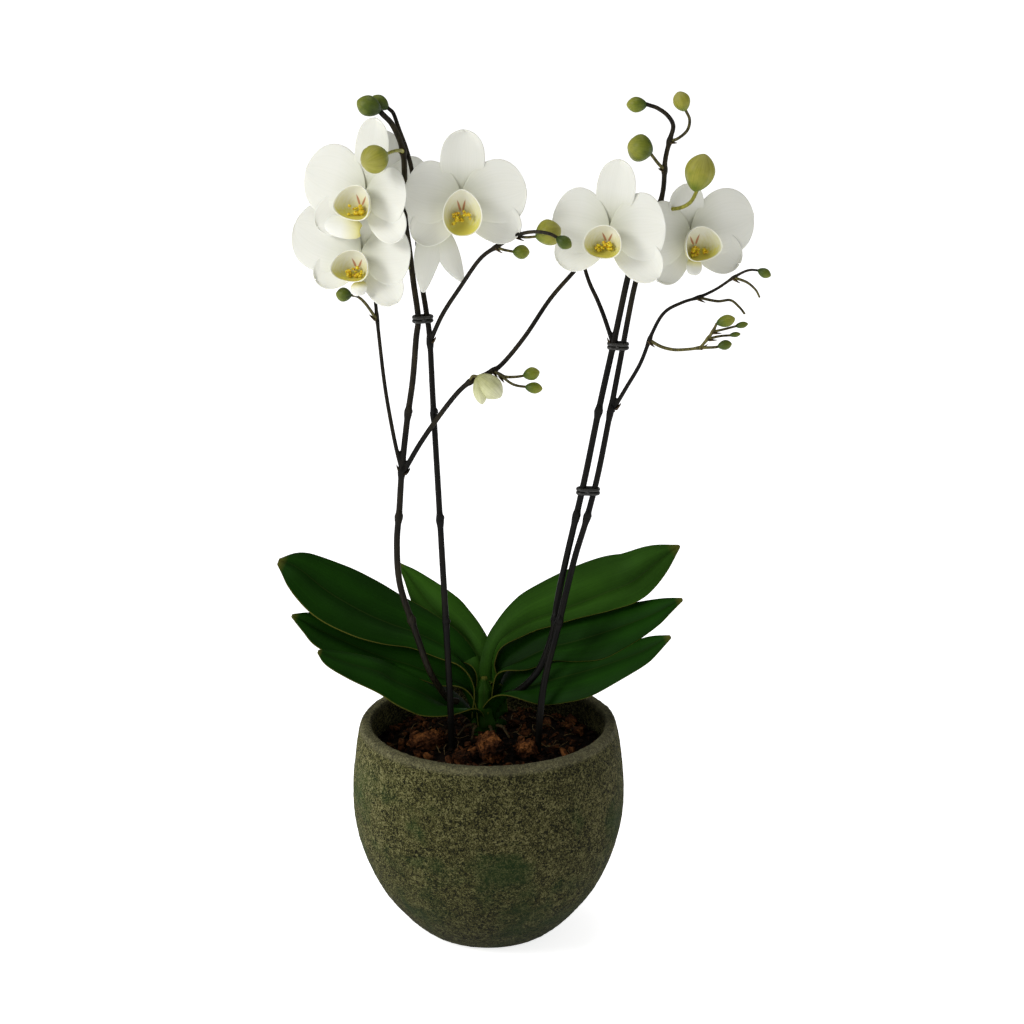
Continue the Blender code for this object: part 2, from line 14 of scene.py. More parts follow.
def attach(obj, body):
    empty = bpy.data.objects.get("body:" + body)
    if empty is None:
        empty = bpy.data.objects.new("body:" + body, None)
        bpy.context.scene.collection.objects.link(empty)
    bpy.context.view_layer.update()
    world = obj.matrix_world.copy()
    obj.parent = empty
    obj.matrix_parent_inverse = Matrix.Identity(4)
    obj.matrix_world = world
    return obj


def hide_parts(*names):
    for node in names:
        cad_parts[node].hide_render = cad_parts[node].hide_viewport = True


bl_info = {
    "name": "Potted Moth Orchid",
    "version": (1, 0, 0),
    "blender": (4, 5, 0),
    "location": "3D View > Sidebar > Orchid",
    "description": "Builds a moth orchid in a rough-cast planter, piece by piece",
    "category": "Add Mesh",
}

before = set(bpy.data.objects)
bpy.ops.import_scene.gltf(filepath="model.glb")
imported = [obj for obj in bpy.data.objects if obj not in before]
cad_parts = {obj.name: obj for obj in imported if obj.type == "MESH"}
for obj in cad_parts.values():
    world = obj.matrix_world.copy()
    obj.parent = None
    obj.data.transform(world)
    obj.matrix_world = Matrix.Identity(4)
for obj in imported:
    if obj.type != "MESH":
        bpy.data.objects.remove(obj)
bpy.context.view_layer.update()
MM = 0.001


# ---------------------------------------------------------------- the plant's measurements

# Planter: radius and height of its outside, from the edge of the flat foot to the rim
POT_OUTSIDE = [(40.0, 0), (46.2, 3), (55.3, 10), (66.8, 22), (79.9, 40), (89.8, 62), (95.8, 85),
               (97.5, 108), (95.6, 135), (91.5, 160)]
POT_FLOOR = 12.0
BARK_EDGE_HEIGHT = 138.0
BARK_CENTRE_HEIGHT = 147.0
# large chips: place, half sizes, turn
BARK_CHIPS = [((2, -33), (9, 12, 9), 20), ((27, -30), (8, 7, 7), -30),
              ((-18, -42), (7, 6, 5), 40), ((-44, -12), (13, 8, 6), 10)]
# strands of coir on the bark
FIBRES = 60

# middle of the short stem
CROWN = (-3.0, 14.0)
# aerial root: where it ends and where it leaves the stem
AERIAL_ROOTS = [((-12, -7), (-9, 4)), ((3, -9), (1, 4)), ((15, -3), (6, 6)), ((-22, 2), (-9, 8)),
                ((12, 34), (2, 22)), ((-18, 32), (-8, 22))]

# leaf: slope of the front and of the rear half, then its stations from base to tip:
# a point of the midrib, and the half widths in front of it and behind it
LEAVES = {
    "leaf_left_1": (-30, 50, [
        (-10, 15, 158, 11, 11), (-12, 17, 176, 10, 11), (-19, 20, 195, 12, 13),
        (-31, 22, 207, 12, 16), (-51, 24, 217, 14, 20), (-71, 25, 224, 19.5, 24.5),
        (-91, 26, 233, 24, 27), (-116, 28, 248, 26, 24.5), (-136, 29, 265, 20, 14),
        (-150, 30, 271, 4, 1)]),
    "leaf_left_2": (-30, 42, [
        (-11, 13, 152, 11, 11), (-14, 14, 168, 9, 11), (-22, 15, 181, 9, 19),
        (-35, 15, 187, 8, 25), (-56, 14, 196, 9, 25), (-76, 13, 203, 13, 20),
        (-96, 12, 212, 17.5, 20), (-119, 10, 224, 16, 14), (-130, 9, 231, 9, 9),
        (-140, 8, 237, 1, 1)]),
    "leaf_left_3": (-34, 22, [
        (-11, 12, 147, 10, 10), (-15, 10, 158, 13, 11), (-30, 2, 169, 18, 21),
        (-51, -5, 184, 21.5, 24), (-66, -10, 193, 21, 22), (-78, -14, 202, 19, 15),
        (-98, -19, 210, 13.5, 12), (-112, -23, 217, 8.5, 7), (-120, -24, 222, 1.5, 1)]),
    "leaf_top": (-35, 55, [
        (-3, 18, 164, 10, 10), (-3, 22, 182, 10, 10), (-5, 26, 195, 12, 11),
        (-11, 31, 204, 16, 13), (-21, 38, 213, 15.5, 16), (-34, 44, 222, 12.5, 19),
        (-47, 52, 235, 10, 15), (-57, 57, 248, 5, 8), (-65, 60, 258, 0.8, 0.8)]),
    "leaf_right_1": (-18, 50, [
        (4, 16, 160, 11, 11), (3, 19, 180, 9, 11), (4, 21, 198, 7, 10),
        (10, 23, 213, 10, 12), (28, 25, 225, 12, 21), (45, 26, 231, 13, 26),
        (63, 26, 238, 14.5, 28), (86, 28, 247, 20, 28), (104, 28, 255, 22, 25),
        (122, 30, 270, 15.5, 15), (137, 32, 281, 1, 1)]),
    "leaf_right_2": (-34, 40, [
        (5, 14, 153, 11, 11), (6, 14, 172, 8, 11), (12, 15, 191, 13, 20),
        (26, 13, 201, 13, 26), (42, 11, 210, 11, 27), (61, 9, 216, 17, 25),
        (80, 7, 223, 22, 20), (99, 4, 231, 18, 18), (118, 2, 240, 11.5, 13),
        (128, 1, 246, 6.5, 8), (138, 0, 252, 1, 1)]),
    "leaf_right_3": (-36, 32, [
        (5, 12, 148, 10, 10), (6, 8, 164, 11, 17), (19, 2, 180, 15.5, 28),
        (37, -4, 189, 19, 26), (51, -8, 195, 21.5, 25), (70, -12, 202, 22.5, 18),
        (89, -16, 210, 18, 16), (108, -20, 219, 12.5, 13), (118, -21, 225, 7.5, 9),
        (129, -22, 232, 1, 1)]),
}

# spike: its path, start and end radius
SPIKES = {
    "spike_left_rear": ([
        (-22, 6, 172), (-29, 0, 177), (-37, -8, 192), (-43, -12, 206), (-52, -12, 234),
        (-62, -9, 266), (-64, -8, 296), (-62, -8, 322), (-60, -8, 351), (-56, -6, 387),
        (-52, -4, 415), (-49.5, -2, 444), (-48, 0, 459), (-51, 6, 481), (-54, 10, 505),
        (-57, 12, 529), (-56.8, 12, 554), (-58, 11, 575), (-64.3, 6, 593),
        (-71.2, 2, 602)], 2.5, 2.0),
    "spike_left_front": ([
        (-26, -16, 143), (-27, -16, 180), (-29, -16, 226), (-32, -14, 286),
        (-35, -10, 344), (-38, -6, 401), (-40, -2, 444), (-42.5, 3, 463),
        (-46, 10, 484), (-48, 15, 504), (-50, 17, 528), (-51, 17, 553),
        (-55, 14.5, 573), (-60.5, 11, 590), (-64, 12, 600), (-67.5, 12, 603.8)], 2.5, 1.4),
    "spike_right_inner": ([
        (13, 5, 178), (19, -2, 182), (29, -9, 193), (38, -11, 207), (46, -11, 232),
        (49, -6, 253), (55, -6, 284), (63, -6, 321), (69, -6, 350), (78, -4, 397),
        (87, 0, 439), (95, 4, 478), (98, 5, 492), (99, 6, 502)], 2.6, 2.2),
    "spike_right_outer": ([
        (35, -27, 143), (37, -27, 178), (41, -24, 205), (49, -17, 236),
        (56, -12, 266), (62, -9, 290), (69, -8, 314), (77, -6, 347), (85, -4, 390),
        (92, -2, 429), (101, 3, 478), (109, 10, 505), (116, 15, 525),
        (121, 18, 545), (122, 14, 567), (125, 12, 582), (127, 10, 592),
        (123, 6, 600), (116, 2, 606), (109.5, -1, 609)], 2.6, 1.5),
}

# heights of the old leaf scars on every spike
SCAR_HEIGHTS = (240, 316, 392)
# branches of this start radius and over are cane, the rest bud stalks, the thicker of them still fresh
CANE_FROM, FRESH_FROM = 1.3, 1.2
# branches of each spike: points, start radius, end radius
BRANCHES = {
    "spike_left_rear": [
        ([(-60, -8, 350), (-65, -8, 373), (-71, -4, 408), (-75, 0, 443), (-78, 4, 474),
          (-80, 8, 488)], 1.4, 1.1),
        ([(-77, 1, 458), (-84, -4, 470), (-89, -8, 476), (-93.5, -10, 477.7)], 1.0, 0.8),
        ([(-59, -8, 349), (-47, -10, 371), (-33, -14, 393), (-20, -18, 411), (-10, -20, 420),
          (0, -14, 423), (10, -12, 429), (26, -8, 448), (43, 0, 472), (59, 8, 489)], 1.7, 1.4),
        ([(-12, -20, 419), (-10, -23, 423.5), (-6, -25, 423.5)], 1.1, 1.0),
        ([(4, -13, 425), (11, -18, 422), (19, -21, 422.5), (25, -22, 423.6)], 1.0, 0.8),
        ([(9, -17, 422.5), (15, -22, 419), (20, -24, 417.2), (26.5, -24, 416.2)], 0.9, 0.8),
        ([(-58, 11, 574), (-59, -4, 578), (-62.5, -18, 581), (-68.5, -31, 581.8)], 1.25, 0.9)],
    "spike_left_front": [
        ([(-40, -2, 442), (-31, -6, 463), (-19, -10, 483), (-5, -12, 504), (7, -12, 513), (16, -13, 518.5),
          (24, -20, 524), (33, -29, 527.5), (42, -34, 527.5), (48, -36, 525)], 1.5, 1.1),
        ([(6, -12, 512.4), (11, -13, 510.8), (18, -14, 509.6)], 0.9, 0.8),
        ([(20, -16.5, 521.4), (26.5, -18, 520.8), (35, -19.2, 521.8)], 0.9, 0.8)],
    "spike_right_inner": [
        ([(87, 0, 440), (81, 2, 458), (76, 6, 470), (71, 10, 480), (68, 14, 488),
          (66, 18, 495)], 1.5, 1.2)],
    "spike_right_outer": [
        ([(122, 16, 560), (117.5, 11, 565), (112, 6.5, 573)], 1.1, 1.0),
        ([(124.5, 12.5, 581), (130, 10, 583), (136.5, 9, 589), (138, 7, 597), (135, 5.8, 604)], 1.0, 0.9),
        ([(121, 18, 536), (124, 6, 535), (132, -4, 538), (139, -7, 543), (143.5, -8, 552)], 1.25, 1.1),
        ([(88, -4, 395), (96, -6, 410), (106, -8, 429), (114, -8, 451), (122, -8, 465), (134, -8, 472),
          (146, -8, 476), (158, -8, 482), (170, -10, 491), (179, -12, 496),
          (187, -15, 496.5)], 1.4, 0.8),
        ([(112, -8, 445), (120, -12, 441.5), (129, -16, 440.5), (139, -18, 441.5), (146, -20, 443),
          (156, -22, 444), (161, -22, 445)], 1.1, 0.8),
        ([(146, -20, 442.8), (151, -20, 449), (155, -20, 455), (157.4, -20.2, 460.6)], 0.9, 0.8),
        ([(155, -20, 454.6), (163, -20, 456.4), (171, -20, 458.6)], 0.8, 0.7),
        ([(152, -20, 449.6), (160, -20, 451.4), (168, -20, 452)], 0.8, 0.7),
        ([(145, -8, 475.6), (158, -10, 473.5), (167, -11, 474.5), (173, -12, 470),
          (177, -12, 465)], 0.9, 0.7),
        ([(169, -10, 490.4), (178, -12, 487.5), (184, -13, 482.5), (187, -13, 477)], 0.9, 0.6)],
}

# little buds that stay part of their spike: base, tip, radius
SMALL_BUDS = {
    "spike_left_front": [((-67.5, 12, 603.3), (-78.5, 12, 612), 5.0), ((47, -36, 525.5), (57, -38, 519), 4.6)],
    "spike_right_outer": [((185, -14.5, 497), (194, -18, 493.5), 3.4), ((170, -20, 458.4), (179, -20, 460.2), 2.3),
                          ((166, -20, 452), (174, -20, 453), 1.9), ((158, -22, 444.6), (168, -22, 446.6), 3.5)],
}

# clip: its height, the two spikes it holds
CLIPS = {
    "clip_left": (458, ("spike_left_rear", "spike_left_front")),
    "clip_right_lower": (335, ("spike_right_inner", "spike_right_outer")),
    "clip_right_upper": (439, ("spike_right_inner", "spike_right_outer")),
}

# radius of a clip's wire and of its bend round a spike
CLIP_WIRE, CLIP_BEND = 1.3, 3.1

# bud: base, tip, radius, how young it is (0 ripe and yellowish, 1 small and deep green)
BUDS = [((-72.2, 1.2, 604), (-88.2, -2, 612), 7.2, 0.7),
        ((-67.5, -30.0, 581.4), (-83, -44, 578.5), 9.8, 0.1),
        ((-93.2, -10.4, 477.8), (-104, -13, 479.5), 5.0, 0.7),
        ((17.2, -14.1, 509.6), (29, -14.5, 509.4), 5.0, 0.4),
        ((33.0, -19.2, 520.8), (50, -20, 528), 9.2, 0.0),
        ((24.3, -22.2, 423.6), (36, -22, 426.4), 4.6, 0.5),
        ((25.7, -24.0, 416.2), (38, -24, 414.8), 4.0, 0.5),
        ((108.8, -1.2, 609.2), (94.5, -2, 609.4), 5.4, 0.5),
        ((113.0, 6.6, 575.0), (96, 2, 580.5), 9.6, 0.2),
        ((134.6, 5.6, 603.2), (130, 3, 617.2), 6.0, 0.1),
        ((141.2, -8.3, 550.6), (148, -10, 577), 10.4, 0.12),
        ((157.0, -20.2, 460.4), (170, -21, 464.2), 4.2, 0.5)]

# bloom: hub, turn about the upright axis, tilt up, roll, its stalk to the spike, and its five tepals:
# angle from straight up (left is positive), length, half width
BLOOMS = {
    "flower_1": ((-82, -16, 551), -28, 12, 4, [(-78, -8, 552), (-69, 3, 554), (-61.6, 9.6, 555)],
        (-1, 52, 13.5), (80, 47, 25), (-84, 32.5, 19.5), (132, 43, 14), (-126, 42, 14)),
    "flower_2": ((-86, -14, 507), -22, 14, 0, [(-80, -6, 505), (-66, 4, 498), (-52.5, 8, 492)],
        (0, 37, 15), (70, 52, 25), (-84, 38, 21), (122, 37, 13), (-132, 43, 14)),
    "flower_3": ((-18, -12, 546), 4, 10, -2, [(-22, -2, 548), (-36, 10, 549), (-47, 15.5, 545)],
        (-5, 47.5, 15.5), (76, 39, 22.5), (-82, 45, 23), (128, 42, 14), (-124, 46, 15)),
    "flower_4": ((-76, 38, 538), 205, 6, -6, [(-74, 30, 540), (-67, 20, 541), (-61, 14.2, 541)],
        (0, 44, 15), (76, 41, 21), (-76, 41, 21), (127, 41, 14), (-127, 41, 14)),
    "flower_5": ((84, -10, 525), -16, 10, 2, [(86, -3, 524), (92, 2, 515), (97.6, 4.6, 506)],
        (-5, 48, 14), (84, 40, 24), (-82, 40, 24), (128, 43, 15), (-128, 48, 15)),
    "flower_6": ((139, 7, 518), 28, 8, -4, [(140, 11, 520), (133, 16, 525), (120.8, 16.8, 529)],
        (2, 34, 14), (82, 38, 23), (-86, 49, 24), (132, 42, 14), (-130, 44, 15)),
}
# lip of each bloom: how far its cup reaches left, right, up and down of the throat and how pointed it is,
# then the front lobe's foot, tip and half width in the bloom's own frame
LIP_CENTRE = (0.0, -5.0, -10.0)
LIPS = {
    "flower_1": ((13.5, 12.5, 15.5, 8.0, 1.0), ((3, -7, -25), (-22, -12, -25), 6.8)),
    "flower_2": ((13.5, 12.5, 13.5, 8.0, 1.0), ((3, -9, -18), (5, -11, -27), 5.6)),
    "flower_3": ((12.6, 12.3, 17.5, 14.0, 1.3), None),
    "flower_4": ((12.5, 12.5, 17.0, 13.0, 1.2), None),
    "flower_5": ((12.6, 12.3, 13.0, 9.5, 1.0), None),
    "flower_6": ((13.0, 13.5, 15.0, 8.5, 1.0), ((-3, -9, -18), (-6, -11, -28), 5.6)),
}
# warts on each callus
WARTS = 22
# long sepals of the bloom that hangs half open: path, half width
DROOPING_SEPALS = [([(-36, 4, 524), (-39, 1, 512), (-42.5, -1, 496), (-44.5, -1, 477)], 9.4),
                   ([(-34, 4, 524), (-30, 1, 512), (-24, 0, 497), (-17, 1, 484)], 7.8)]
TEPALS = ("upper", "petal_left", "petal_right", "side_left", "side_right")


# ---------------------------------------------------------------- small helpers

def mm(*values):
    """A point given in millimetres, as a vector in metres."""
    return Vector(values) * MM


def linear(hex_colour):
    """An sRGB hex colour as linear red, green and blue."""
    values = [int(hex_colour[i:i + 2], 16) / 255 for i in (1, 3, 5)]
    return tuple(v / 12.92 if v <= 0.04045 else ((v + 0.055) / 1.055) ** 2.4 for v in values)


def smooth_path(points, steps):
    """Points along a smooth curve through the given points, steps to each stretch."""
    knots = [Vector(p) for p in points]
    path = []
    for i in range(len(knots) - 1):
        before = knots[i - 1] if i else knots[i] * 2 - knots[i + 1]
        after = knots[i + 2] if i + 2 < len(knots) else knots[i + 1] * 2 - knots[i]
        for step in range(steps):
            t = step / steps
            path.append(0.5 * (2 * knots[i] + (knots[i + 1] - before) * t
                               + (2 * before - 5 * knots[i] + 4 * knots[i + 1] - after) * t * t
                               + (3 * knots[i] - before - 3 * knots[i + 1] + after) * t ** 3))
    path.append(knots[-1])
    return path


def table_value(table, at):
    """The second column of a table, read smoothly at a value of its first column."""
    for (x0, y0), (x1, y1) in zip(table, table[1:]):
        if at <= x1:
            t = max(0.0, (at - x0) / (x1 - x0))
            return y0 + (y1 - y0) * t
    return table[-1][1]


def pot_profile(steps=6):
    """The smooth outside of the planter as points of radius and height."""
    return [(p.x, p.y) for p in smooth_path([(radius, rise, 0) for radius, rise in POT_OUTSIDE], steps)]


def pot_outer_radius(height):
    """Radius of the planter's outside at a height."""
    return table_value([(rise, radius) for radius, rise in pot_profile()], height)


def bark_height(x, y):
    """Height of the bark's top, a low mound, at a place inside the planter."""
    inside = POT_OUTSIDE[-1][0] - bpy.context.scene.orchid_planter.wall / MM
    part = math.hypot(x, y) / inside
    return BARK_CENTRE_HEIGHT - (BARK_CENTRE_HEIGHT - BARK_EDGE_HEIGHT) * part ** 2


def path_point(path, height):
    """Where a rising path passes a height."""
    for low, high in zip(path, path[1:]):
        if low[2] <= height <= high[2]:
            return Vector(low).lerp(Vector(high), (height - low[2]) / (high[2] - low[2]))
    raise ValueError(f"the path does not reach the height {height}")


# ---------------------------------------------------------------- modelling helpers

def select_only(*objects):
    """Select these objects alone and make the first one active."""
    bpy.ops.object.select_all(action="DESELECT")
    for obj in objects:
        obj.select_set(True)
    bpy.context.view_layer.objects.active = objects[0]


def edit(obj, *steps):
    """Run edit-mode steps on all of an object's mesh."""
    select_only(obj)
    bpy.ops.object.mode_set(mode="EDIT")
    bpy.ops.mesh.select_all(action="SELECT")
    for step in steps:
        step()
    bpy.ops.object.mode_set(mode="OBJECT")


def face_outwards():
    """Edit-mode step: merge doubled points, then turn every face outwards."""
    bpy.ops.mesh.remove_doubles(threshold=0.01 * MM)
    bpy.ops.mesh.normals_make_consistent(inside=False)


def mend_borders(obj, step):
    """Run an edit-mode step on a mesh's open borders, then turn every face outwards."""
    select_only(obj)
    bpy.ops.object.mode_set(mode="EDIT")
    bpy.ops.mesh.select_mode(type="EDGE")
    bpy.ops.mesh.select_all(action="DESELECT")
    bpy.ops.mesh.select_non_manifold()
    step()
    bpy.ops.mesh.select_all(action="SELECT")
    bpy.ops.mesh.normals_make_consistent(inside=False)
    bpy.ops.mesh.select_mode(type="VERT")
    bpy.ops.object.mode_set(mode="OBJECT")


def modify(obj, kind, **settings):
    """Add a modifier with its settings and apply it."""
    select_only(obj)
    step = obj.modifiers.new(kind.lower(), kind)
    for name, value in settings.items():
        setattr(step, name, value)
    bpy.ops.object.modifier_apply(modifier=step.name)


def join(name, *objects):
    """Join objects into the first one."""
    if len(objects) > 1:
        select_only(*objects)
        bpy.ops.object.join()
    objects[0].name = name
    objects[0].data.name = name
    return objects[0]


def shaped_grid(name, across, along, place):
    """A grid primitive whose points go to place(u, v): u from -1 to 1 across, v from 0 to 1 along."""
    bpy.ops.object.select_all(action="DESELECT")
    bpy.ops.mesh.primitive_grid_add(x_subdivisions=across, y_subdivisions=along, size=2)
    made = bpy.context.object
    made.name = name
    for vertex in made.data.vertices:
        vertex.co = place(vertex.co.x, (vertex.co.y + 1) / 2) * MM
    return made


def dress(obj, finish):
    """Give an object its one finish and shade it smooth."""
    obj.data.materials.clear()
    obj.data.materials.append(finish)
    select_only(obj)
    bpy.ops.object.shade_smooth()
    return obj


def roughen(obj, name, size, strength, middle=0.5, noise="SOFT_NOISE", group=""):
    """Displace an object's surface by clouds of a size, in metres, by a strength in millimetres."""
    texture = bpy.data.textures.new(name, "CLOUDS")
    texture.noise_scale = size
    texture.noise_type = noise
    modify(obj, "DISPLACE", texture=texture, strength=strength * MM, mid_level=middle, vertex_group=group)


def thicken(made, thickness, finish):
    """Give an open sheet its thickness in metres, smooth it once and dress it."""
    modify(made, "SOLIDIFY", thickness=thickness, offset=0.0)
    modify(made, "SUBSURF", levels=1, render_levels=1)
    return dress(made, finish)


def thin_sheet(name, across, along, place, thickness, finish):
    """A shaped grid given its thickness and smoothed once."""
    made = shaped_grid(name, across, along, place)
    edit(made, lambda: bpy.ops.mesh.normals_make_consistent(inside=False))
    return thicken(made, thickness, finish)


def egg(name, base, tip, radius, finish, fat_end=0.55, seams=0.0, segments=28):
    """An egg from its base to its tip, with three shallow seams, from a sphere primitive."""
    bpy.ops.object.select_all(action="DESELECT")
    bpy.ops.mesh.primitive_uv_sphere_add(segments=segments, ring_count=segments // 2 + 4, radius=1)
    made = bpy.context.object
    made.name = name
    start, end = Vector(base), Vector(tip)
    turn = (end - start).to_track_quat("Z", "Y").to_matrix()
    length = (end - start).length
    for vertex in made.data.vertices:
        part = (vertex.co.z + 1) / 2
        share = part / fat_end if part < fat_end else (1 - part) / (1 - fat_end)
        full = math.sin(0.5 * math.pi * min(1, max(0, share))) ** 0.62
        angle = math.atan2(vertex.co.y, vertex.co.x)
        groove = 1 - seams * max(0.0, math.cos(3 * angle)) ** 10
        ring = radius * full * groove
        vertex.co = (start + turn @ Vector((math.cos(angle) * ring, math.sin(angle) * ring,
                                            part * length))) * MM
    return dress(made, finish)


def tube(name, path, radii, finish, resolution=3):
    """A round tube along a path of points, with a radius at each, from a bevelled curve."""
    curve = bpy.data.curves.new(name, "CURVE")
    curve.dimensions = "3D"
    curve.bevel_depth = MM
    curve.bevel_resolution = resolution
    curve.use_fill_caps = True
    line = curve.splines.new("POLY")
    line.points.add(len(path) - 1)
    for point, place, radius in zip(line.points, path, radii):
        point.co = (*(Vector(place) * MM), 1.0)
        point.radius = radius
    made = bpy.data.objects.new(name, curve)
    bpy.context.scene.collection.objects.link(made)
    select_only(made)
    bpy.ops.object.convert(target="MESH")
    made = bpy.context.object
    edit(made, face_outwards)
    return dress(made, finish)


def settle(piece, slot, *nodes):
    """Let a finished piece ride on the frame and stand for its CAD nodes; the slot is not used."""
    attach(piece, "root")
    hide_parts(*nodes)


# ---------------------------------------------------------------- material helpers

WHITE, BLACK = (1, 1, 1), (0, 0, 0)


def node(tree, kind, inputs=None, stops=(), **settings):
    """Add a shader node: settings are its properties, an input is a value, a socket or a node's first output."""
    made = tree.nodes.new("ShaderNode" + kind)
    for name, value in settings.items():
        setattr(made, name, value)
    for name, value in (inputs or {}).items():
        socket = made.inputs[name]
        if isinstance(value, bpy.types.Node):
            value = value.outputs[0]
        if isinstance(value, bpy.types.NodeSocket):
            tree.links.new(value, socket)
        else:
            socket.default_value = (*value, 1) if socket.type == "RGBA" else value
    if stops:
        elements = made.color_ramp.elements
        while len(elements) < len(stops):
            elements.new(0.5)
        for element, (position, tint) in zip(elements, stops):
            element.position = position
            element.color = (*tint, 1)
    return made


class Finish:
    """A material being made: each step adds a node and returns it. Sockets are set by name, _ for a space."""

    def __init__(self, name, roughness, specular, **sockets):
        self.material = bpy.data.materials.new(name)
        self.material.use_nodes = True
        self.tree = self.material.node_tree
        self.shader = self.tree.nodes["Principled BSDF"]
        self.shader.inputs["Roughness"].default_value = roughness
        self.shader.inputs["Specular IOR Level"].default_value = specular
        for socket, value in sockets.items():
            self.shader.inputs[socket.replace("_", " ")].default_value = value

    def place(self):
        """Object coordinates, in metres."""
        return node(self.tree, "TexCoord").outputs["Object"]

    def surface(self):
        """How far across and along the surface, 0 to 1."""
        return node(self.tree, "UVMap").outputs[0]

    def parts(self, vector):
        """The three parts of a vector."""
        return node(self.tree, "SeparateXYZ", {0: vector}).outputs

    def noise(self, vector, scale, detail, **more):
        """Noise; on object coordinates its scale is patches to the metre."""
        return node(self.tree, "TexNoise", {"Vector": vector, "Scale": scale, "Detail": detail, **more})

    def drawn_noise(self, vector, scale, detail):
        """Noise with its own scale along each axis, so that it draws out into streaks."""
        return self.noise(node(self.tree, "Mapping", {"Vector": vector, "Scale": scale}), 1.0, detail)

    def ramp(self, value, *stops):
        """Colours at positions of a value."""
        return node(self.tree, "ValToRGB", {0: value}, stops)

    def span(self, value, low, high, first, last):
        """A value between low and high, as one between first and last."""
        return node(self.tree, "MapRange", {0: value, 1: low, 2: high, 3: first, 4: last})

    def maths(self, operation, *values):
        """One sum."""
        return node(self.tree, "Math", dict(enumerate(values)), operation=operation)

    def mix(self, share, first, second, blend="MIX"):
        """The first colour, with the second blended in by a share."""
        return node(self.tree, "MixRGB", {0: share, 1: first, 2: second}, blend_type=blend)

    def times(self, first, second):
        """One colour multiplied by another."""
        return self.mix(1.0, first, second, "MULTIPLY")

    def ready(self, colour, height=None, strength=0.0, depth=0.0):
        """Link the colour and a bump so many millimetres deep; returns the material."""
        self.tree.links.new(colour.outputs[0], self.shader.inputs["Base Color"])
        if height is not None:
            bump = node(self.tree, "Bump", {"Strength": strength, "Distance": depth * MM, "Height": height})
            self.tree.links.new(bump.outputs[0], self.shader.inputs["Normal"])
        return self.material


def even(value):
    """A grey."""
    return (value, value, value)


def rough_cast(settings):
    """Rough-cast concrete, sponged and weathered: sandy wormy grain, dark pits, moss in soft patches."""
    m = Finish("rough_cast_concrete_weathered", 0.9, 0.1)
    place = m.place()
    east, _, height = m.parts(place)
    fineness = 900 / (settings.grain / MM)
    warp = m.noise(place, fineness, 2.0)
    bent = m.mix(0.0016, place, warp.outputs["Color"], "ADD")
    worms = m.noise(bent, fineness, 3.0, Roughness=0.6, Distortion=1.6)
    # where the sponge pressed, less of the pale sand is left
    pressed = m.span(m.noise(place, 95.0, 4.0, Roughness=0.6), 0.32, 0.68, -0.035, 0.03)
    sand = m.maths("ADD", worms, pressed)
    pits = m.ramp(sand, (0.42, BLACK), (0.465, even(0.45)), (0.51, WHITE))
    cast = m.mix(pits, linear("#15160a"), settings.cast_colour)
    # painted highlights: the crests of the grain are painted pale
    pale = m.mix(m.ramp(sand, (0.52, BLACK), (0.6, even(0.9))), cast, linear("#8f8a60"))
    # moss in patches a few centimetres across, thickest below the belly
    patch = m.ramp(m.noise(place, 19.0, 5.0, Roughness=0.62), (0.5, BLACK), (0.62, even(0.62)))
    moss = m.times(patch, m.span(height, 0.148, 0.112, 0.1, 1.0))
    mossy = m.mix(moss, pale, settings.moss_colour)
    # broad drift of tone
    drift = m.ramp(m.noise(place, 9.0, 1.0), (0.3, (0.74, 0.76, 0.7)), (0.7, even(1.08)))
    # painted shade darkens the planter towards its foot, and painted light brightens its left side
    painted_foot_shade = m.ramp(m.span(height, 0.0, 0.16, 0.0, 1.0),
                  (0.05, (0.34, 0.36, 0.32)), (0.35, (0.62, 0.64, 0.58)), (0.75, WHITE))
    painted_left_light = m.span(east, -0.09, 0.0, 1.28, 0.74)
    cast_with_painted_light = m.times(m.times(m.times(mossy, drift), painted_foot_shade), painted_left_light)
    # the rim's outer edge is rubbed pale
    worn = m.maths("MULTIPLY", m.span(height, 0.1535, 0.1565, 0.0, 0.8), m.maths("POWER", sand, 0.9))
    return m.ready(m.mix(worn, cast_with_painted_light, linear("#77735a")), sand, 1.0, 2.2)


def bark_finish(name, dark, light):
    """Composted pine bark, broken: layered cork grain a millimetre thick, dark in its cracks."""
    m = Finish(name, 0.92, 0.06)
    place = m.place()
    cork = m.noise(place, 420.0, 5.0, Roughness=0.7)
    mixed = m.maths("MULTIPLY", cork, m.noise(place, 70.0, 2.0))
    return m.ready(m.ramp(mixed, (0.14, linear("#0b0704")), (0.24, linear(dark)), (0.4, linear(light))),
                   cork, 0.9, 0.8)


def leaf_finish(name, settings, blade):
    """Orchid leaf, waxy and leathery: parallel veins under a soft gloss, a yellow-brown edge line."""
    m = Finish(name, 0.5, 0.035)
    surface = m.surface()
    across, along, _ = m.parts(surface)
    veins = m.drawn_noise(surface, (90.0, 3.0, 1.0), 3.0)
    green = m.ramp(m.noise(m.place(), 22.0, 2.0),
                   (0.3, tuple(c * 0.72 for c in blade)), (0.7, tuple(c * 1.25 for c in blade)))
    streaks = m.ramp(veins, (0.35, even(0.86)), (0.65, even(1.1)))
    # painted sheen: the blade is painted lighter halfway out from the middle line than at the midrib and the margin
    side = m.maths("ABSOLUTE", m.maths("SUBTRACT", across, 0.5))
    painted_sheen = m.ramp(side, (0.0, (0.72, 0.74, 0.7)), (0.22, (1.3, 1.25, 1.4)), (0.47, (0.84, 0.86, 0.8)))
    veined = m.times(m.times(green, streaks), painted_sheen)
    rim = m.maths("MAXIMUM", m.span(side, 0.49, 0.498, 0.0, 0.8), m.span(along, 0.95, 0.995, 0.0, 0.8))
    edged = m.mix(rim, veined, settings.margin_colour)
    ribbed = m.mix(m.span(side, 0.0, 0.012, 0.5, 0.0), edged, linear("#2f3a14"))
    return m.ready(ribbed, veins, 0.35, 0.25)


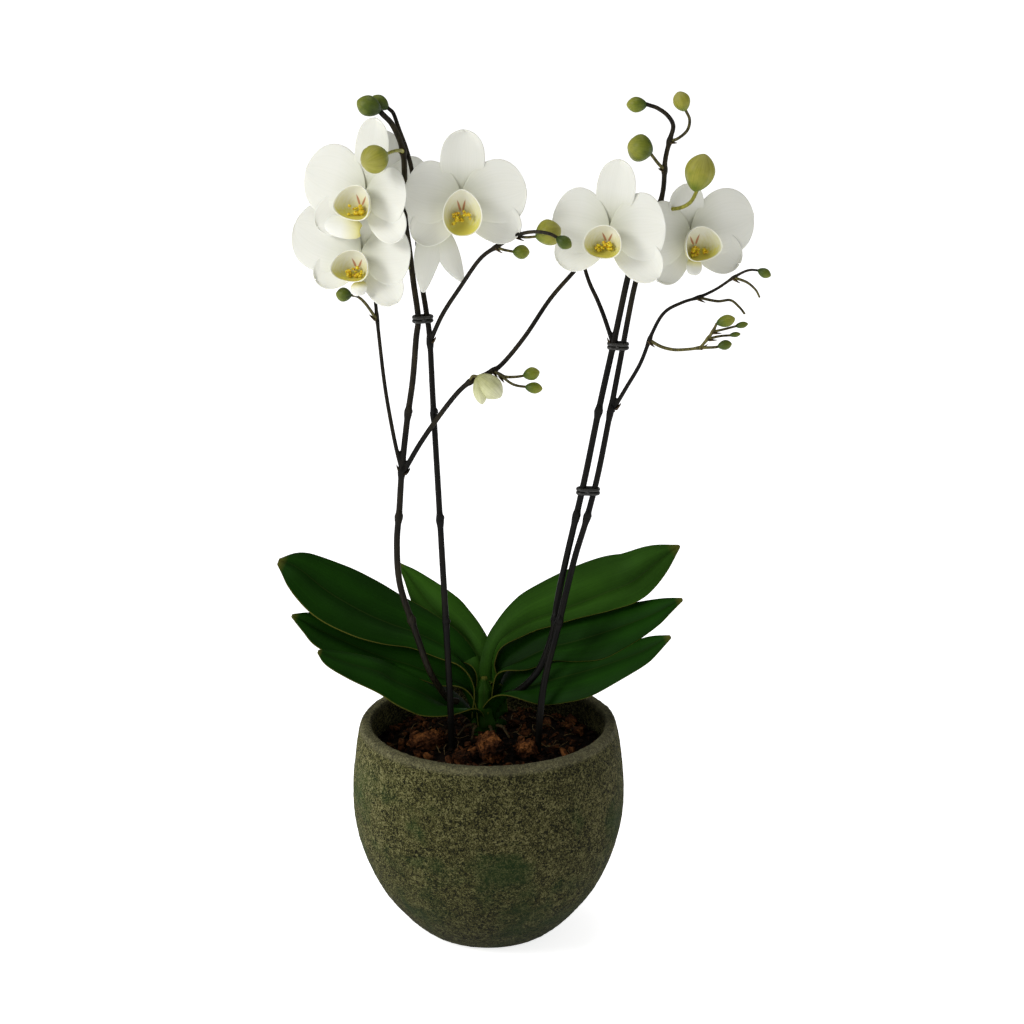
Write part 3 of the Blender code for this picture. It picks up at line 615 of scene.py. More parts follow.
def cane_finish(name, dark, light, roughness=0.5, foot=1.0, rise=(0.36, 0.52)):
    """Orchid flower cane, smooth skinned and hardened: fine streaks along it, corky specks a millimetre long."""
    m = Finish(name, roughness, 0.12)
    place = m.place()
    streaks = m.drawn_noise(place, (900.0, 900.0, 120.0), 3.0)
    mixed = m.maths("MULTIPLY", streaks, m.noise(place, 45.0, 2.0))
    # younger and browner towards the top
    younger = m.span(m.parts(place)["Z"], *rise, foot, 2.1)
    return m.ready(m.times(m.ramp(mixed, (0.15, dark), (0.4, light)), younger), streaks, 0.6, 0.2)


def petal_finish(name, settings, centre):
    """Orchid petal, living tissue: matt white that glows a little, faint veins fanning from its foot."""
    m = Finish(name, 0.55, 0.3, Subsurface_Weight=0.12, Subsurface_Radius=(0.004, 0.0035, 0.0025),
               Sheen_Weight=0.15)
    surface = m.surface()
    veins = m.drawn_noise(surface, (34.0, 1.6, 1.0), 2.0)
    streaks = m.ramp(veins, (0.35, (0.97, 0.973, 0.965)), (0.6, WHITE))
    # the foot is painted greyer: partly the tissue's own cream-green tint, partly painted shade
    foot = m.ramp(m.parts(surface)["Y"], (0.05, centre), (0.5, tuple(settings.petal_colour)))
    return m.ready(m.times(foot, streaks), veins, 0.14, 0.2)


def lip_finish(settings):
    """Orchid lip, waxy tissue: white rim, cream walls deepening to yellow, two orange-red streaks."""
    m = Finish("orchid_lip_waxy", 0.5, 0.25, Subsurface_Weight=0.08, Subsurface_Radius=(0.003, 0.002, 0.001))
    surface = m.surface()
    across, along, _ = m.parts(surface)
    side = m.maths("ABSOLUTE", m.maths("SUBTRACT", across, 0.5))
    spread = m.span(m.noise(surface, 14.0, 3.0), 0.3, 0.7, -0.06, 0.06)
    wall = m.ramp(m.maths("ADD", side, spread), (0.1, linear("#dddccb")), (0.26, tuple(settings.lip_colour)),
                  (0.37, linear("#d3cd66")), (0.45, linear("#d8cf5e")))
    # the throat is deeper in colour, the rim white
    deep = m.mix(m.span(along, 0.12, 0.5, 0.45, 0.0), wall, linear("#cbc268"))
    rimmed = m.mix(m.span(along, 0.9, 0.965, 0.0, 0.9), deep, linear("#e6e5d8"))
    # two wedges stand each side of the middle above the throat
    near = m.maths("ABSOLUTE", m.maths("SUBTRACT", side, 0.075))
    inside = m.maths("SUBTRACT", m.span(along, 0.1, 0.46, 0.044, 0.0), near)
    shown = m.maths("MULTIPLY", m.span(inside, 0.0, 0.012, 0.0, 0.85), m.span(along, 0.04, 0.1, 0.0, 1.0))
    return m.ready(m.mix(shown, rimmed, linear("#a9633a")))


def callus_finish(settings):
    """Orchid callus, glossy and warty: golden yellow with rusty freckles half a millimetre wide."""
    m = Finish("orchid_callus_waxy", 0.35, 0.5)
    return m.ready(m.ramp(m.noise(m.place(), 900.0, 2.0), (0.3, linear("#8a3a10")),
                          (0.39, tuple(settings.callus_colour)), (0.56, linear("#dccb22"))))


def bud_finish(name, foot, middle, tip):
    """Orchid bud, taut waxy skin: green at its foot, yellower to its tip, with fine pale veins."""
    m = Finish(name, 0.45, 0.18)
    surface = m.surface()
    spread = m.span(m.noise(m.place(), 160.0, 3.0), 0.3, 0.7, -0.12, 0.12)
    skin = m.ramp(m.maths("ADD", m.parts(surface)["Y"], spread),
                  (0.15, linear(foot)), (0.55, linear(middle)), (0.9, linear(tip)))
    veins = m.drawn_noise(surface, (60.0, 2.0, 1.0), 2.0)
    return m.ready(m.times(skin, m.ramp(veins, (0.35, even(0.88)), (0.65, even(1.08)))), veins, 0.3, 0.2)


def young_bud_finish():
    """Orchid bud, young and waxy: deep green, shared by the smallest buds."""
    name = "orchid_bud_young"
    return bpy.data.materials.get(name) or bud_finish(name, "#26390f", "#4a581a", "#6d752a")


def plastic_finish():
    """Polypropylene, moulded and black: a dull gloss over fine grit."""
    m = Finish("polypropylene_moulded_black", 0.45, 0.5)
    grit = m.noise(m.place(), 1400.0, 2.0)
    return m.ready(m.ramp(grit, (0.3, linear("#0c0c0a")), (0.7, linear("#24231c"))), grit, 0.3, 0.1)


def paper_finish(settings):
    """Studio paper, matt and lit through: white with the faintest fibre."""
    m = Finish("studio_paper_matt", 0.95, 0.1, Emission_Strength=0.8, Emission_Color=(1, 1, 1, 1))
    colour = tuple(settings.floor_colour)
    return m.ready(m.ramp(m.noise(m.place(), 300.0, 1.0), (0.0, tuple(c * 0.99 for c in colour)), (1.0, colour)))


# ---------------------------------------------------------------- settings

class OrchidPlanterSettings(bpy.types.PropertyGroup):
    """The planter and its bark."""
    wall: FloatProperty(name="Wall", description="Thickness of the planter's wall at the rim",
                        default=8.6 * MM, unit="LENGTH")
    grain: FloatProperty(name="Grain", description="Width of one grain of the rough cast",
                         default=1.6 * MM, unit="LENGTH")
    cast_colour: FloatVectorProperty(name="Cast colour", description="Colour of the cast concrete",
                                     default=linear("#57542d"), subtype="COLOR")
    moss_colour: FloatVectorProperty(name="Moss colour", description="Colour of the moss patches",
                                     default=linear("#25401a"), subtype="COLOR")
    crumbs: IntProperty(name="Bark crumbs", description="How many small pieces of bark lie on the bed",
                        default=1100)
    seed: IntProperty(name="Seed", description="Changes how the bark lies", default=7)


class OrchidLeafSettings(bpy.types.PropertyGroup):
    """The leaves."""
    thickness: FloatProperty(name="Thickness", description="Thickness of a leaf",
                             default=1.4 * MM, unit="LENGTH")
    blade_colour: FloatVectorProperty(name="Blade colour", description="Colour of an old leaf",
                                      default=linear("#123105"), subtype="COLOR")
    young_colour: FloatVectorProperty(name="Young colour", description="Colour of the youngest leaf",
                                      default=linear("#25450e"), subtype="COLOR")
    margin_colour: FloatVectorProperty(name="Margin colour", description="Colour of a leaf's edge line",
                                       default=linear("#55531f"), subtype="COLOR")


class OrchidSpikeSettings(bpy.types.PropertyGroup):
    """The flower spikes, their clips and buds."""
    voxel: FloatProperty(name="Voxel", description="Fineness with which a spike's forks are blended",
                         default=0.55 * MM, unit="LENGTH")
    cane_colour: FloatVectorProperty(name="Cane colour", description="Light colour of the canes",
                                     default=linear("#221d11"), subtype="COLOR")
    stalk_colour: FloatVectorProperty(name="Stalk colour", description="Light colour of the bud stalks",
                                      default=linear("#544f2a"), subtype="COLOR")


class OrchidBloomSettings(bpy.types.PropertyGroup):
    """The blooms."""
    thickness: FloatProperty(name="Thickness", description="Thickness of a petal",
                             default=0.75 * MM, unit="LENGTH")
    petal_colour: FloatVectorProperty(name="Petal colour", description="Colour of petals and sepals",
                                      default=linear("#dfdfd6"), subtype="COLOR")
    lip_colour: FloatVectorProperty(name="Lip colour", description="Colour of the lip's walls",
                                    default=linear("#d6d3a6"), subtype="COLOR")
    callus_colour: FloatVectorProperty(name="Callus colour", description="Colour of the callus",
                                       default=linear("#cf9c0c"), subtype="COLOR")


class OrchidStageSettings(bpy.types.PropertyGroup):
    """The floor and the light."""
    floor_colour: FloatVectorProperty(name="Floor colour", description="Colour of the floor",
                                      default=linear("#f8f8f8"), subtype="COLOR")
    sky: FloatProperty(name="Sky", description="Strength of the even light all round", default=0.3)
    key: FloatProperty(name="Key", description="Power of the large soft light, in watts", default=53.0)


# ---------------------------------------------------------------- planter and bark

class ORCHID_OT_planter(bpy.types.Operator):
    """Turn the rough-cast planter from its profile"""
    bl_idname = "orchid.planter"
    bl_label = "Planter"

    def execute(self, context):
        settings = context.scene.orchid_planter
        wall = settings.wall / MM
        rim_radius, height = POT_OUTSIDE[-1]
        profile = [(0.6, 0.0), (24.0, 0.0), (39.0, 0.0)]
        profile += [point for point in pot_profile(3) if point[1] <= height - 4]
        profile += [(rim_radius + 0.15, height - 2.4), (rim_radius - 0.9, height - 0.5)]
        profile += [(rim_radius - 2.4, height), (rim_radius - wall / 2, height + 0.1)]
        profile += [(rim_radius - wall + 2.2, height - 0.2), (rim_radius - wall + 0.7, height - 1.2)]
        profile += [(pot_outer_radius(rise) - wall, rise) for rise in (154, 144, 128, 108, 80, 50, 26)]
        profile += [(pot_outer_radius(POT_FLOOR) - wall - 8, POT_FLOOR), (0.6, POT_FLOOR)]
        bpy.ops.object.select_all(action="DESELECT")
        radius, rise = profile[0]
        bpy.ops.mesh.primitive_circle_add(vertices=96, radius=radius * MM, location=(0, 0, rise * MM))
        pot = context.object
        bpy.ops.object.transform_apply(location=True)
        bpy.ops.object.mode_set(mode="EDIT")
        bpy.ops.mesh.select_all(action="SELECT")
        for (radius, rise), (next_radius, next_rise) in zip(profile, profile[1:]):
            bpy.ops.mesh.extrude_edges_move(
                TRANSFORM_OT_translate={"value": (0, 0, (next_rise - rise) * MM)})
            grow = next_radius / radius
            bpy.ops.transform.resize(value=(grow, grow, 1), center_override=(0, 0, next_rise * MM))
        bpy.ops.object.mode_set(mode="OBJECT")
        mend_borders(pot, bpy.ops.mesh.edge_collapse)
        modify(pot, "SUBSURF", levels=2, render_levels=2)
        # hand-thrown unevenness: low lumps and pressed grain, none on the foot
        above = pot.vertex_groups.new(name="above_foot")
        above.add([v.index for v in pot.data.vertices if v.co.z > 2.5 * MM], 1.0, "REPLACE")
        for name, size, strength in (("pot_lumps", 0.016, 0.7), ("pot_grain", 0.0032, 0.75)):
            roughen(pot, name, size, strength, group="above_foot")
        join("planter", dress(pot, rough_cast(settings)))
        settle(pot, "planter_stone", "pot")
        return {"FINISHED"}


def scatter(name, model, count, seed, radius, size, lift, finish):
    """Copies of one small shape strewn over the bark, joined as one piece."""
    chance = random.Random(seed)
    copies = []
    for _ in range(count):
        reach, angle = radius * math.sqrt(chance.random()), chance.uniform(0, 2 * math.pi)
        x, y = reach * math.cos(angle), reach * math.sin(angle)
        grow = chance.uniform(*size)
        turn = Euler([chance.uniform(-0.7, 0.7), chance.uniform(-0.7, 0.7), chance.uniform(0, 6.3)])
        scale = Matrix.Diagonal((grow, grow * chance.uniform(0.4, 1.0), grow * chance.uniform(0.3, 0.7), 1))
        mesh = model.data.copy()
        mesh.transform(Matrix.Translation(mm(x, y, bark_height(x, y) + lift * grow))
                       @ turn.to_matrix().to_4x4() @ scale)
        copy = bpy.data.objects.new(name, mesh)
        bpy.context.scene.collection.objects.link(copy)
        copies.append(copy)
    bpy.data.objects.remove(model)
    made = join(name, *copies)
    made.data.materials.clear()
    made.data.materials.append(finish)
    return made


def crumb(name, cuts, seed):
    """A broken lump one millimetre in half size, from a cube cut and shaken."""
    bpy.ops.object.select_all(action="DESELECT")
    bpy.ops.mesh.primitive_cube_add(size=2 * MM)
    made = bpy.context.object
    made.name = name
    edit(made, lambda: bpy.ops.mesh.bevel(offset=0.45 * MM, segments=1),
         lambda: bpy.ops.mesh.subdivide(number_cuts=cuts, smoothness=0.2) if cuts else None,
         lambda: bpy.ops.transform.vertex_random(offset=0.22 * MM, seed=seed))
    return made


class ORCHID_OT_bark(bpy.types.Operator):
    """Fill the planter with bark: a dark bed, crumbs, fibres and four large chips"""
    bl_idname = "orchid.bark"
    bl_label = "Bark"

    def execute(self, context):
        settings = context.scene.orchid_planter
        soil = bark_finish("composted_bark_fine", "#0e0804", "#20140a")
        red = bark_finish("pine_bark_crumbs", "#1a0e05", "#4f2c14")
        tan = bark_finish("pine_bark_chips", "#3a2010", "#80512a")
        inside = pot_outer_radius(150) - settings.wall / MM
        bed = shaped_grid("bark_bed", 96, 96, lambda u, v: self.on_disc(u, v * 2 - 1, inside))
        modify(bed, "SOLIDIFY", thickness=18 * MM, offset=-1.0)
        roughen(bed, "bark_lumps", 0.008, 4.0, 0.6)
        bed.data.materials.append(soil)
        crumbs = scatter("crumbs", crumb("crumb", 0, 3), settings.crumbs, settings.seed, inside - 3,
                         (0.7, 2.2), 0.35, red)
        flakes = scatter("flakes", crumb("flake", 0, 5), settings.crumbs // 14, settings.seed + 1,
                         inside - 6, (2.2, 4.6), 0.3, tan)
        join("bark_fill", bed, crumbs, flakes)
        settle(bed, "pine_bark", "bark_bed")
        self.fibres(settings, inside)
        for number, ((x, y), size, turn) in enumerate(BARK_CHIPS, 1):
            chip = crumb(f"chip_{number}", 3, number)
            lift = size[2] * 0.72 + bark_height(x, y)
            grow = Matrix.Diagonal((*(half * 0.95 for half in size), 1))
            tilted = Euler((0.25, -0.2, math.radians(turn))).to_matrix().to_4x4()
            chip.data.transform(Matrix.Translation(mm(x, y, lift)) @ tilted @ grow)
            modify(chip, "SUBSURF", levels=2, render_levels=2, subdivision_type="SIMPLE")
            roughen(chip, "chip_layers", 0.005, 3.2, noise="HARD_NOISE")
            chip.data.materials.append(tan)
            join(f"bark_piece_{number}", chip)
            settle(chip, "pine_bark", f"bark_chip_{number}")
        return {"FINISHED"}

    @staticmethod
    def on_disc(u, v, radius):
        """A square's point moved onto the mound's disc."""
        x, y = u * math.sqrt(1 - v * v / 2) * radius, v * math.sqrt(1 - u * u / 2) * radius
        return Vector((x, y, bark_height(x, y) - 1.5))

    @staticmethod
    def fibres(settings, inside):
        """Pale fine roots and coir strands that lie on the bark."""
        pale = cane_finish("coir_fibre_dry", linear("#2c1f10"), linear("#6e5c3a"), 0.8)
        chance = random.Random(settings.seed + 5)
        strands = []
        for number in range(FIBRES):
            reach, angle = (inside - 8) * math.sqrt(chance.random()), chance.uniform(0, 6.28)
            point = Vector((reach * math.cos(angle), reach * math.sin(angle), 0))
            heading = chance.uniform(0, 6.28)
            path = []
            for step in range(chance.randint(4, 9)):
                lift = 2.2 + 1.6 * math.sin(step * 0.9 + number)
                path.append(Vector((point.x, point.y, bark_height(point.x, point.y) + lift)))
                heading += chance.uniform(-0.7, 0.7)
                point = point + Vector((math.cos(heading), math.sin(heading), 0)) * 2.4
                if point.length > inside - 4:
                    break
            if len(path) > 2:
                strands.append(tube("strand", path, [0.26] * len(path), pale, 0))
        settle(join("fibres", *strands), "root")


# ---------------------------------------------------------------- crown, roots and leaves

class ORCHID_OT_crown(bpy.types.Operator):
    """Build the short stem and the pale aerial roots at its foot"""
    bl_idname = "orchid.crown"
    bl_label = "Crown and roots"

    def execute(self, context):
        leaves = context.scene.orchid_leaves
        green = leaf_finish("orchid_stem_sheath", leaves, tuple(c * 0.9 for c in leaves.young_colour))
        x, y = CROWN
        foot = bark_height(x, y) - 2
        # height, half width, half depth
        outline = [(foot, 8.5, 8.0), (foot + 8, 9.0, 8.5), (168, 8.0, 7.5), (178, 6.5, 6), (188, 2.0, 2.0)]

        def place(u, v):
            height = outline[0][0] + (outline[-1][0] - outline[0][0]) * v
            wide = table_value([(h, w) for h, w, _ in outline], height)
            deep = table_value([(h, d) for h, _, d in outline], height)
            angle = math.pi * u
            ridge = 1 + 0.05 * math.sin(7 * angle + height * 0.1) + 0.05 * math.sin(height * 0.5)
            return Vector((x + wide * ridge * math.sin(angle), y - deep * ridge * math.cos(angle), height))

        crown = shaped_grid("crown_stem", 48, 40, place)
        edit(crown, face_outwards)
        mend_borders(crown, lambda: bpy.ops.mesh.fill_holes(sides=0))
        settle(dress(crown, green), "leaf_tissue", "crown")

        pale = cane_finish("aerial_root_dry", linear("#2a2010"), linear("#5d5030"), 0.75)
        roots = []
        for (ex, ey), (sx, sy) in AERIAL_ROOTS:
            over = ((sx + ex) / 2, (sy + ey) / 2)
            path = smooth_path([(sx, sy, foot + 9), (*over, bark_height(*over) + 7),
                                (ex, ey, bark_height(ex, ey) + 1)], 6)
            radii = [1.2 - 0.5 * i / len(path) + 0.15 * math.sin(i * 1.7) for i in range(len(path))]
            roots.append(tube("root", path, radii, pale, 3))
        settle(join("roots", *roots), "root", "aerial_roots")
        return {"FINISHED"}


class ORCHID_OT_leaves(bpy.types.Operator):
    """Shape the seven strap leaves, folded along their midribs"""
    bl_idname = "orchid.leaves"
    bl_label = "Leaves"

    def execute(self, context):
        settings = context.scene.orchid_leaves
        old = leaf_finish("orchid_leaf_waxy", settings, tuple(settings.blade_colour))
        young = leaf_finish("orchid_young_leaf_waxy", settings, tuple(settings.young_colour))
        for number, (name, (front_slope, rear_slope, stations)) in enumerate(LEAVES.items()):
            path = smooth_path([station[:3] for station in stations], 8)
            widths = smooth_path([(*station[3:], 0) for station in stations], 8)
            last = len(path) - 1

            def place(u, v):
                at = v * last
                i = min(int(at), last - 1)
                here = path[i].lerp(path[i + 1], at - i)
                width = widths[i].lerp(widths[i + 1], at - i)
                along = (path[min(i + 4, last)] - path[max(i - 3, 0)]).normalized()
                front = along.cross(Vector((0, 0, 1))).normalized()
                front = -front if front.y > 0 else front
                up = (Vector((0, 0, 1)) - along * along.z).normalized()
                side, half, slope = (1, width.x, front_slope) if u > 0 else (-1, width.y, rear_slope)
                # the foot is a channel that clasps the stem
                open_part = min(1.0, max(0.0, (v - 0.12) / 0.26))
                open_part = open_part * open_part * (3 - 2 * open_part)
                lean = math.radians(44 + (slope - 44) * open_part)
                reach = abs(u) * half
                wave = 0.5 * math.sin(v * 9 + number + side) * abs(u) * open_part
                arch = 0.09 * half * math.sin(math.pi * min(1, abs(u) * 1.05))
                out = front * side * math.cos(lean) + up * math.sin(lean)
                over = up * math.cos(lean) - front * side * math.sin(lean)
                return here + out * reach + over * (arch + wave)

            blade = thin_sheet(name + "_blade", 18, 64, place, settings.thickness,
                               young if name in ("leaf_top", "leaf_right_1") else old)
            settle(blade, "leaf_tissue", name)
        return {"FINISHED"}


# ---------------------------------------------------------------- spikes, clips and buds

def swollen_radii(path, start, end, nodes):
    """Radii along a path that taper, with a swelling near each node."""
    last = len(path) - 1
    radii = []
    for i, point in enumerate(path):
        radius = start + (end - start) * i / last
        near = min((point - spot).length for spot in nodes) if nodes else 99
        radii.append(radius * (1 + 0.42 * math.exp(-(near / 2.6) ** 2)))
    return radii


def lengthened(path, more):
    """A path carried straight on at its end."""
    return path + [path[-1] + (path[-1] - path[-2]).normalized() * more]


def bract(name, foot, along, outward, length, wide, finish):
    """A small pointed scale that clasps a stem at a node."""
    along, outward = along.normalized(), outward.normalized()
    across = along.cross(outward).normalized()

    def place(u, v):
        angle = u * (1.5 - 0.9 * v)
        reach = wide * (1.1 + 0.35 * v) * (1 - v ** 2.2) + 0.15
        bend = along * (v * length) + outward * (0.35 * length * v * v)
        return foot + bend + outward * (math.cos(angle) * reach) + across * (math.sin(angle) * reach)

    return thin_sheet(name, 6, 6, place, 0.5 * MM, finish)


class ORCHID_OT_spikes(bpy.types.Operator):
    """Grow the four flower spikes with their branches, nodes, bracts and smallest buds"""
    bl_idname = "orchid.spikes"
    bl_label = "Flower spikes"

    def execute(self, context):
        settings = context.scene.orchid_spikes
        cane = cane_finish("orchid_cane_hardened", linear("#060503"), tuple(settings.cane_colour))
        # three of the canes are nearly black below the blooms
        aged = cane_finish("orchid_cane_aged", linear("#060503"), tuple(settings.cane_colour), 0.5, 0.3,
                           (0.43, 0.53))
        stalk = cane_finish("orchid_bud_stalk", linear("#17140b"), tuple(settings.stalk_colour))
        fresh = cane_finish("orchid_bud_stalk_fresh", linear("#3d3d14"), linear("#75732f"))
        young = young_bud_finish()
        dry = cane_finish("orchid_bract_dry", linear("#1d160c"), linear("#4a3c26"), 0.8)
        for name, (points, start, end) in SPIKES.items():
            branches = BRANCHES[name]
            # the blending below draws an end back, so it starts longer
            main = lengthened(smooth_path(points, 10), 2.6)
            scars = [path_point(main, height) for height in SCAR_HEIGHTS]
            nodes = [Vector(path[0]) for path, _, _ in branches] + scars
            parts = [tube(name, main, swollen_radii(main, start, end, nodes), cane, 4)]
            thin = []
            for points_b, start_b, end_b in branches:
                path = smooth_path(points_b, 8)
                woody = start_b >= CANE_FROM
                if woody:
                    path = lengthened(path, 2.2)
                others = [spot for spot in nodes if (spot - path[0]).length > 4]
                radii = swollen_radii(path, start_b * 1.15, end_b * 1.15, others)
                finish = cane if woody else fresh if start_b > FRESH_FROM else stalk
                (parts if woody else thin).append(tube(name + "_branch", path, radii, finish, 3))
                direction = path[3] - path[0]
                thin.append(bract(name + "_bract", path[0] - direction.normalized() * 0.4, direction,
                                  Vector((direction.z, 0, -direction.x)) * (1 if direction.x > 0 else -1),
                                  6.2, start_b + 0.7, dry))
            body = join(name + "_cane", *parts)
            modify(body, "REMESH", mode="VOXEL", voxel_size=settings.voxel, use_smooth_shade=True)
            modify(body, "SMOOTH", factor=0.5, iterations=3)
            skin = cane if name == "spike_left_rear" else aged
            body.data.materials.clear()
            body.data.materials.append(skin)
            for spot in scars:
                thin.append(bract(name + "_scale", spot, Vector((0, 0, 1)), Vector((0.3, -1, 0)), 6.0,
                                  start + 0.1, skin))
            for base, tip, radius in SMALL_BUDS.get(name, []):
                thin.append(egg(name + "_bud", base, tip, radius, young, seams=0.06, segments=20))
            join(name + "_cane", body, *thin)
            settle(body, "spike_cane", name)
        return {"FINISHED"}


class ORCHID_OT_clips(bpy.types.Operator):
    """Bend the three small clips round their pairs of spikes"""
    bl_idname = "orchid.clips"
    bl_label = "Clips"

    def execute(self, context):
        black = plastic_finish()
        for name, (height, spikes) in CLIPS.items():
            eyes = [path_point(smooth_path(SPIKES[spike][0], 10), height) for spike in spikes]
            middle = (eyes[0] + eyes[1]) / 2
            middle.z = height
            along = eyes[1] - eyes[0]
            along.z = 0
            half = along.length / 2
            along.normalize()
            across = Vector((-along.y, along.x, 0))
            bands = []
            for level in (-CLIP_WIRE - 0.05, CLIP_WIRE + 0.05):
                path = []
                for step in range(41):
                    angle = 2 * math.pi * step / 40
                    path.append(middle + Vector((0, 0, level)) + across * math.sin(angle) * CLIP_BEND
                                + along * (math.cos(angle) * CLIP_BEND + math.copysign(half, math.cos(angle))))
                bands.append(tube(name, path, [CLIP_WIRE] * len(path), black, 2))
            bridge = [middle + across * reach for reach in (-4.3, -2.2, 2.2, 4.3)]
            bands.append(tube(name, bridge, [1.3, 0.9, 0.9, 1.2], black, 2))
            settle(join(name + "_band", *bands), "clip_plastic", name)
        return {"FINISHED"}


class ORCHID_OT_buds(bpy.types.Operator):
    """Fill the twelve closed buds and the pale one that is opening"""
    bl_idname = "orchid.buds"
    bl_label = "Buds"

    def execute(self, context):
        ripe = bud_finish("orchid_bud_ripe", "#5c6a1e", "#8d8b33", "#96924a")
        green = bud_finish("orchid_bud_green", "#2c4312", "#67701f", "#8f8f3c")
        young = young_bud_finish()
        for number, (base, tip, radius, youth) in enumerate(BUDS, 1):
            finish = ripe if youth < 0.15 else green if youth < 0.55 else young
            bud = egg(f"bud_{number:02d}_skin", base, tip, radius, finish, seams=0.07, segments=40)
            settle(bud, "bud_green", f"bud_{number:02d}")
        cream = bud_finish("orchid_bud_opening", "#9c9d68", "#c2c396", "#d0d0b0")
        parts = [egg("opening", (-7, -24.5, 424.6), (9.5, -26, 409.5), 8.3, cream, seams=0.12, segments=36),
                 egg("folded_sepal", (-7, -24.5, 424), (-3.5, -29, 405), 4.8, cream, segments=20)]
        settle(join("opening_bud_skin", *parts), "bud_cream", "opening_bud")
        return {"FINISHED"}


# ---------------------------------------------------------------- blooms

def tepal_place(kind, angle, length, half_width, number):
    """How a petal or sepal lies: a function from u and v to a point in the bloom's own frame."""
    turn = math.radians(angle)
    along = Vector((-math.sin(turn), 0, math.cos(turn)))
    across = Vector((math.cos(turn), 0, math.sin(turn)))
    petal = kind.startswith("petal")
    widest, blunt = (0.58, 2.2) if petal else (0.54, 2.6)
    lift = 2.0 if petal else 0.0

    def place(u, v):
        part = 0.5 - 0.5 * math.cos(math.pi * (0.06 + 0.94 * v))
        if part < widest:
            half = half_width * (1 - ((widest - part) / widest) ** 1.9) ** (0.72 if petal else 0.85)
        else:
            half = half_width * max(0.0, 1 - ((part - widest) / (1 - widest)) ** blunt) ** 0.5
        flat = along * (length * part) + across * (u * max(half, 0.25))
        cup = 0.0016 * flat.length_squared
        crease = 0.7 * math.exp(-(u / 0.3) ** 2) * math.sin(math.pi * part) * (1 if petal else 0.4)
        roll = -2.4 * u * u * math.sin(math.pi * part) if petal else 2.2 * u * u * part
        ruffle = 0.55 * math.sin(2.3 * u + 3.0 * part + number * 1.7) * part * abs(u)
        return Vector((flat.x, -lift - cup + crease - roll - ruffle, flat.z))

    return place


def bloom_frame(hub, yaw, pitch, roll):
    """Where a bloom stands and which way it faces."""
    facing = Euler((math.radians(-pitch), math.radians(roll), math.radians(yaw)), "XYZ")
    return Matrix.Translation(mm(*hub)) @ facing.to_matrix().to_4x4()


def lip_place(extents, u, v):
    """The lip's cup: u runs round from the top both ways, v from the throat to the rim."""
    left, right, high, low, point = extents
    sideways, upright = math.sin(math.pi * u), math.cos(math.pi * u)
    share = math.sin(0.5 * math.pi * v) ** 0.85
    wide, tall, sharp = (right if u > 0 else left), (high if upright > 0 else low), (point if upright > 0 else 0.85)
    x = wide * share * math.copysign(abs(sideways) ** sharp, sideways)
    forward = (11.5 + 2.5 * sideways ** 2 - 3.0 * max(0.0, upright)) * (1 - math.cos(0.5 * math.pi * v))
    flare = 0.9 * v ** 6 * sideways
    return Vector((LIP_CENTRE[0] + x + flare, LIP_CENTRE[1] - forward, LIP_CENTRE[2] + tall * share * upright))


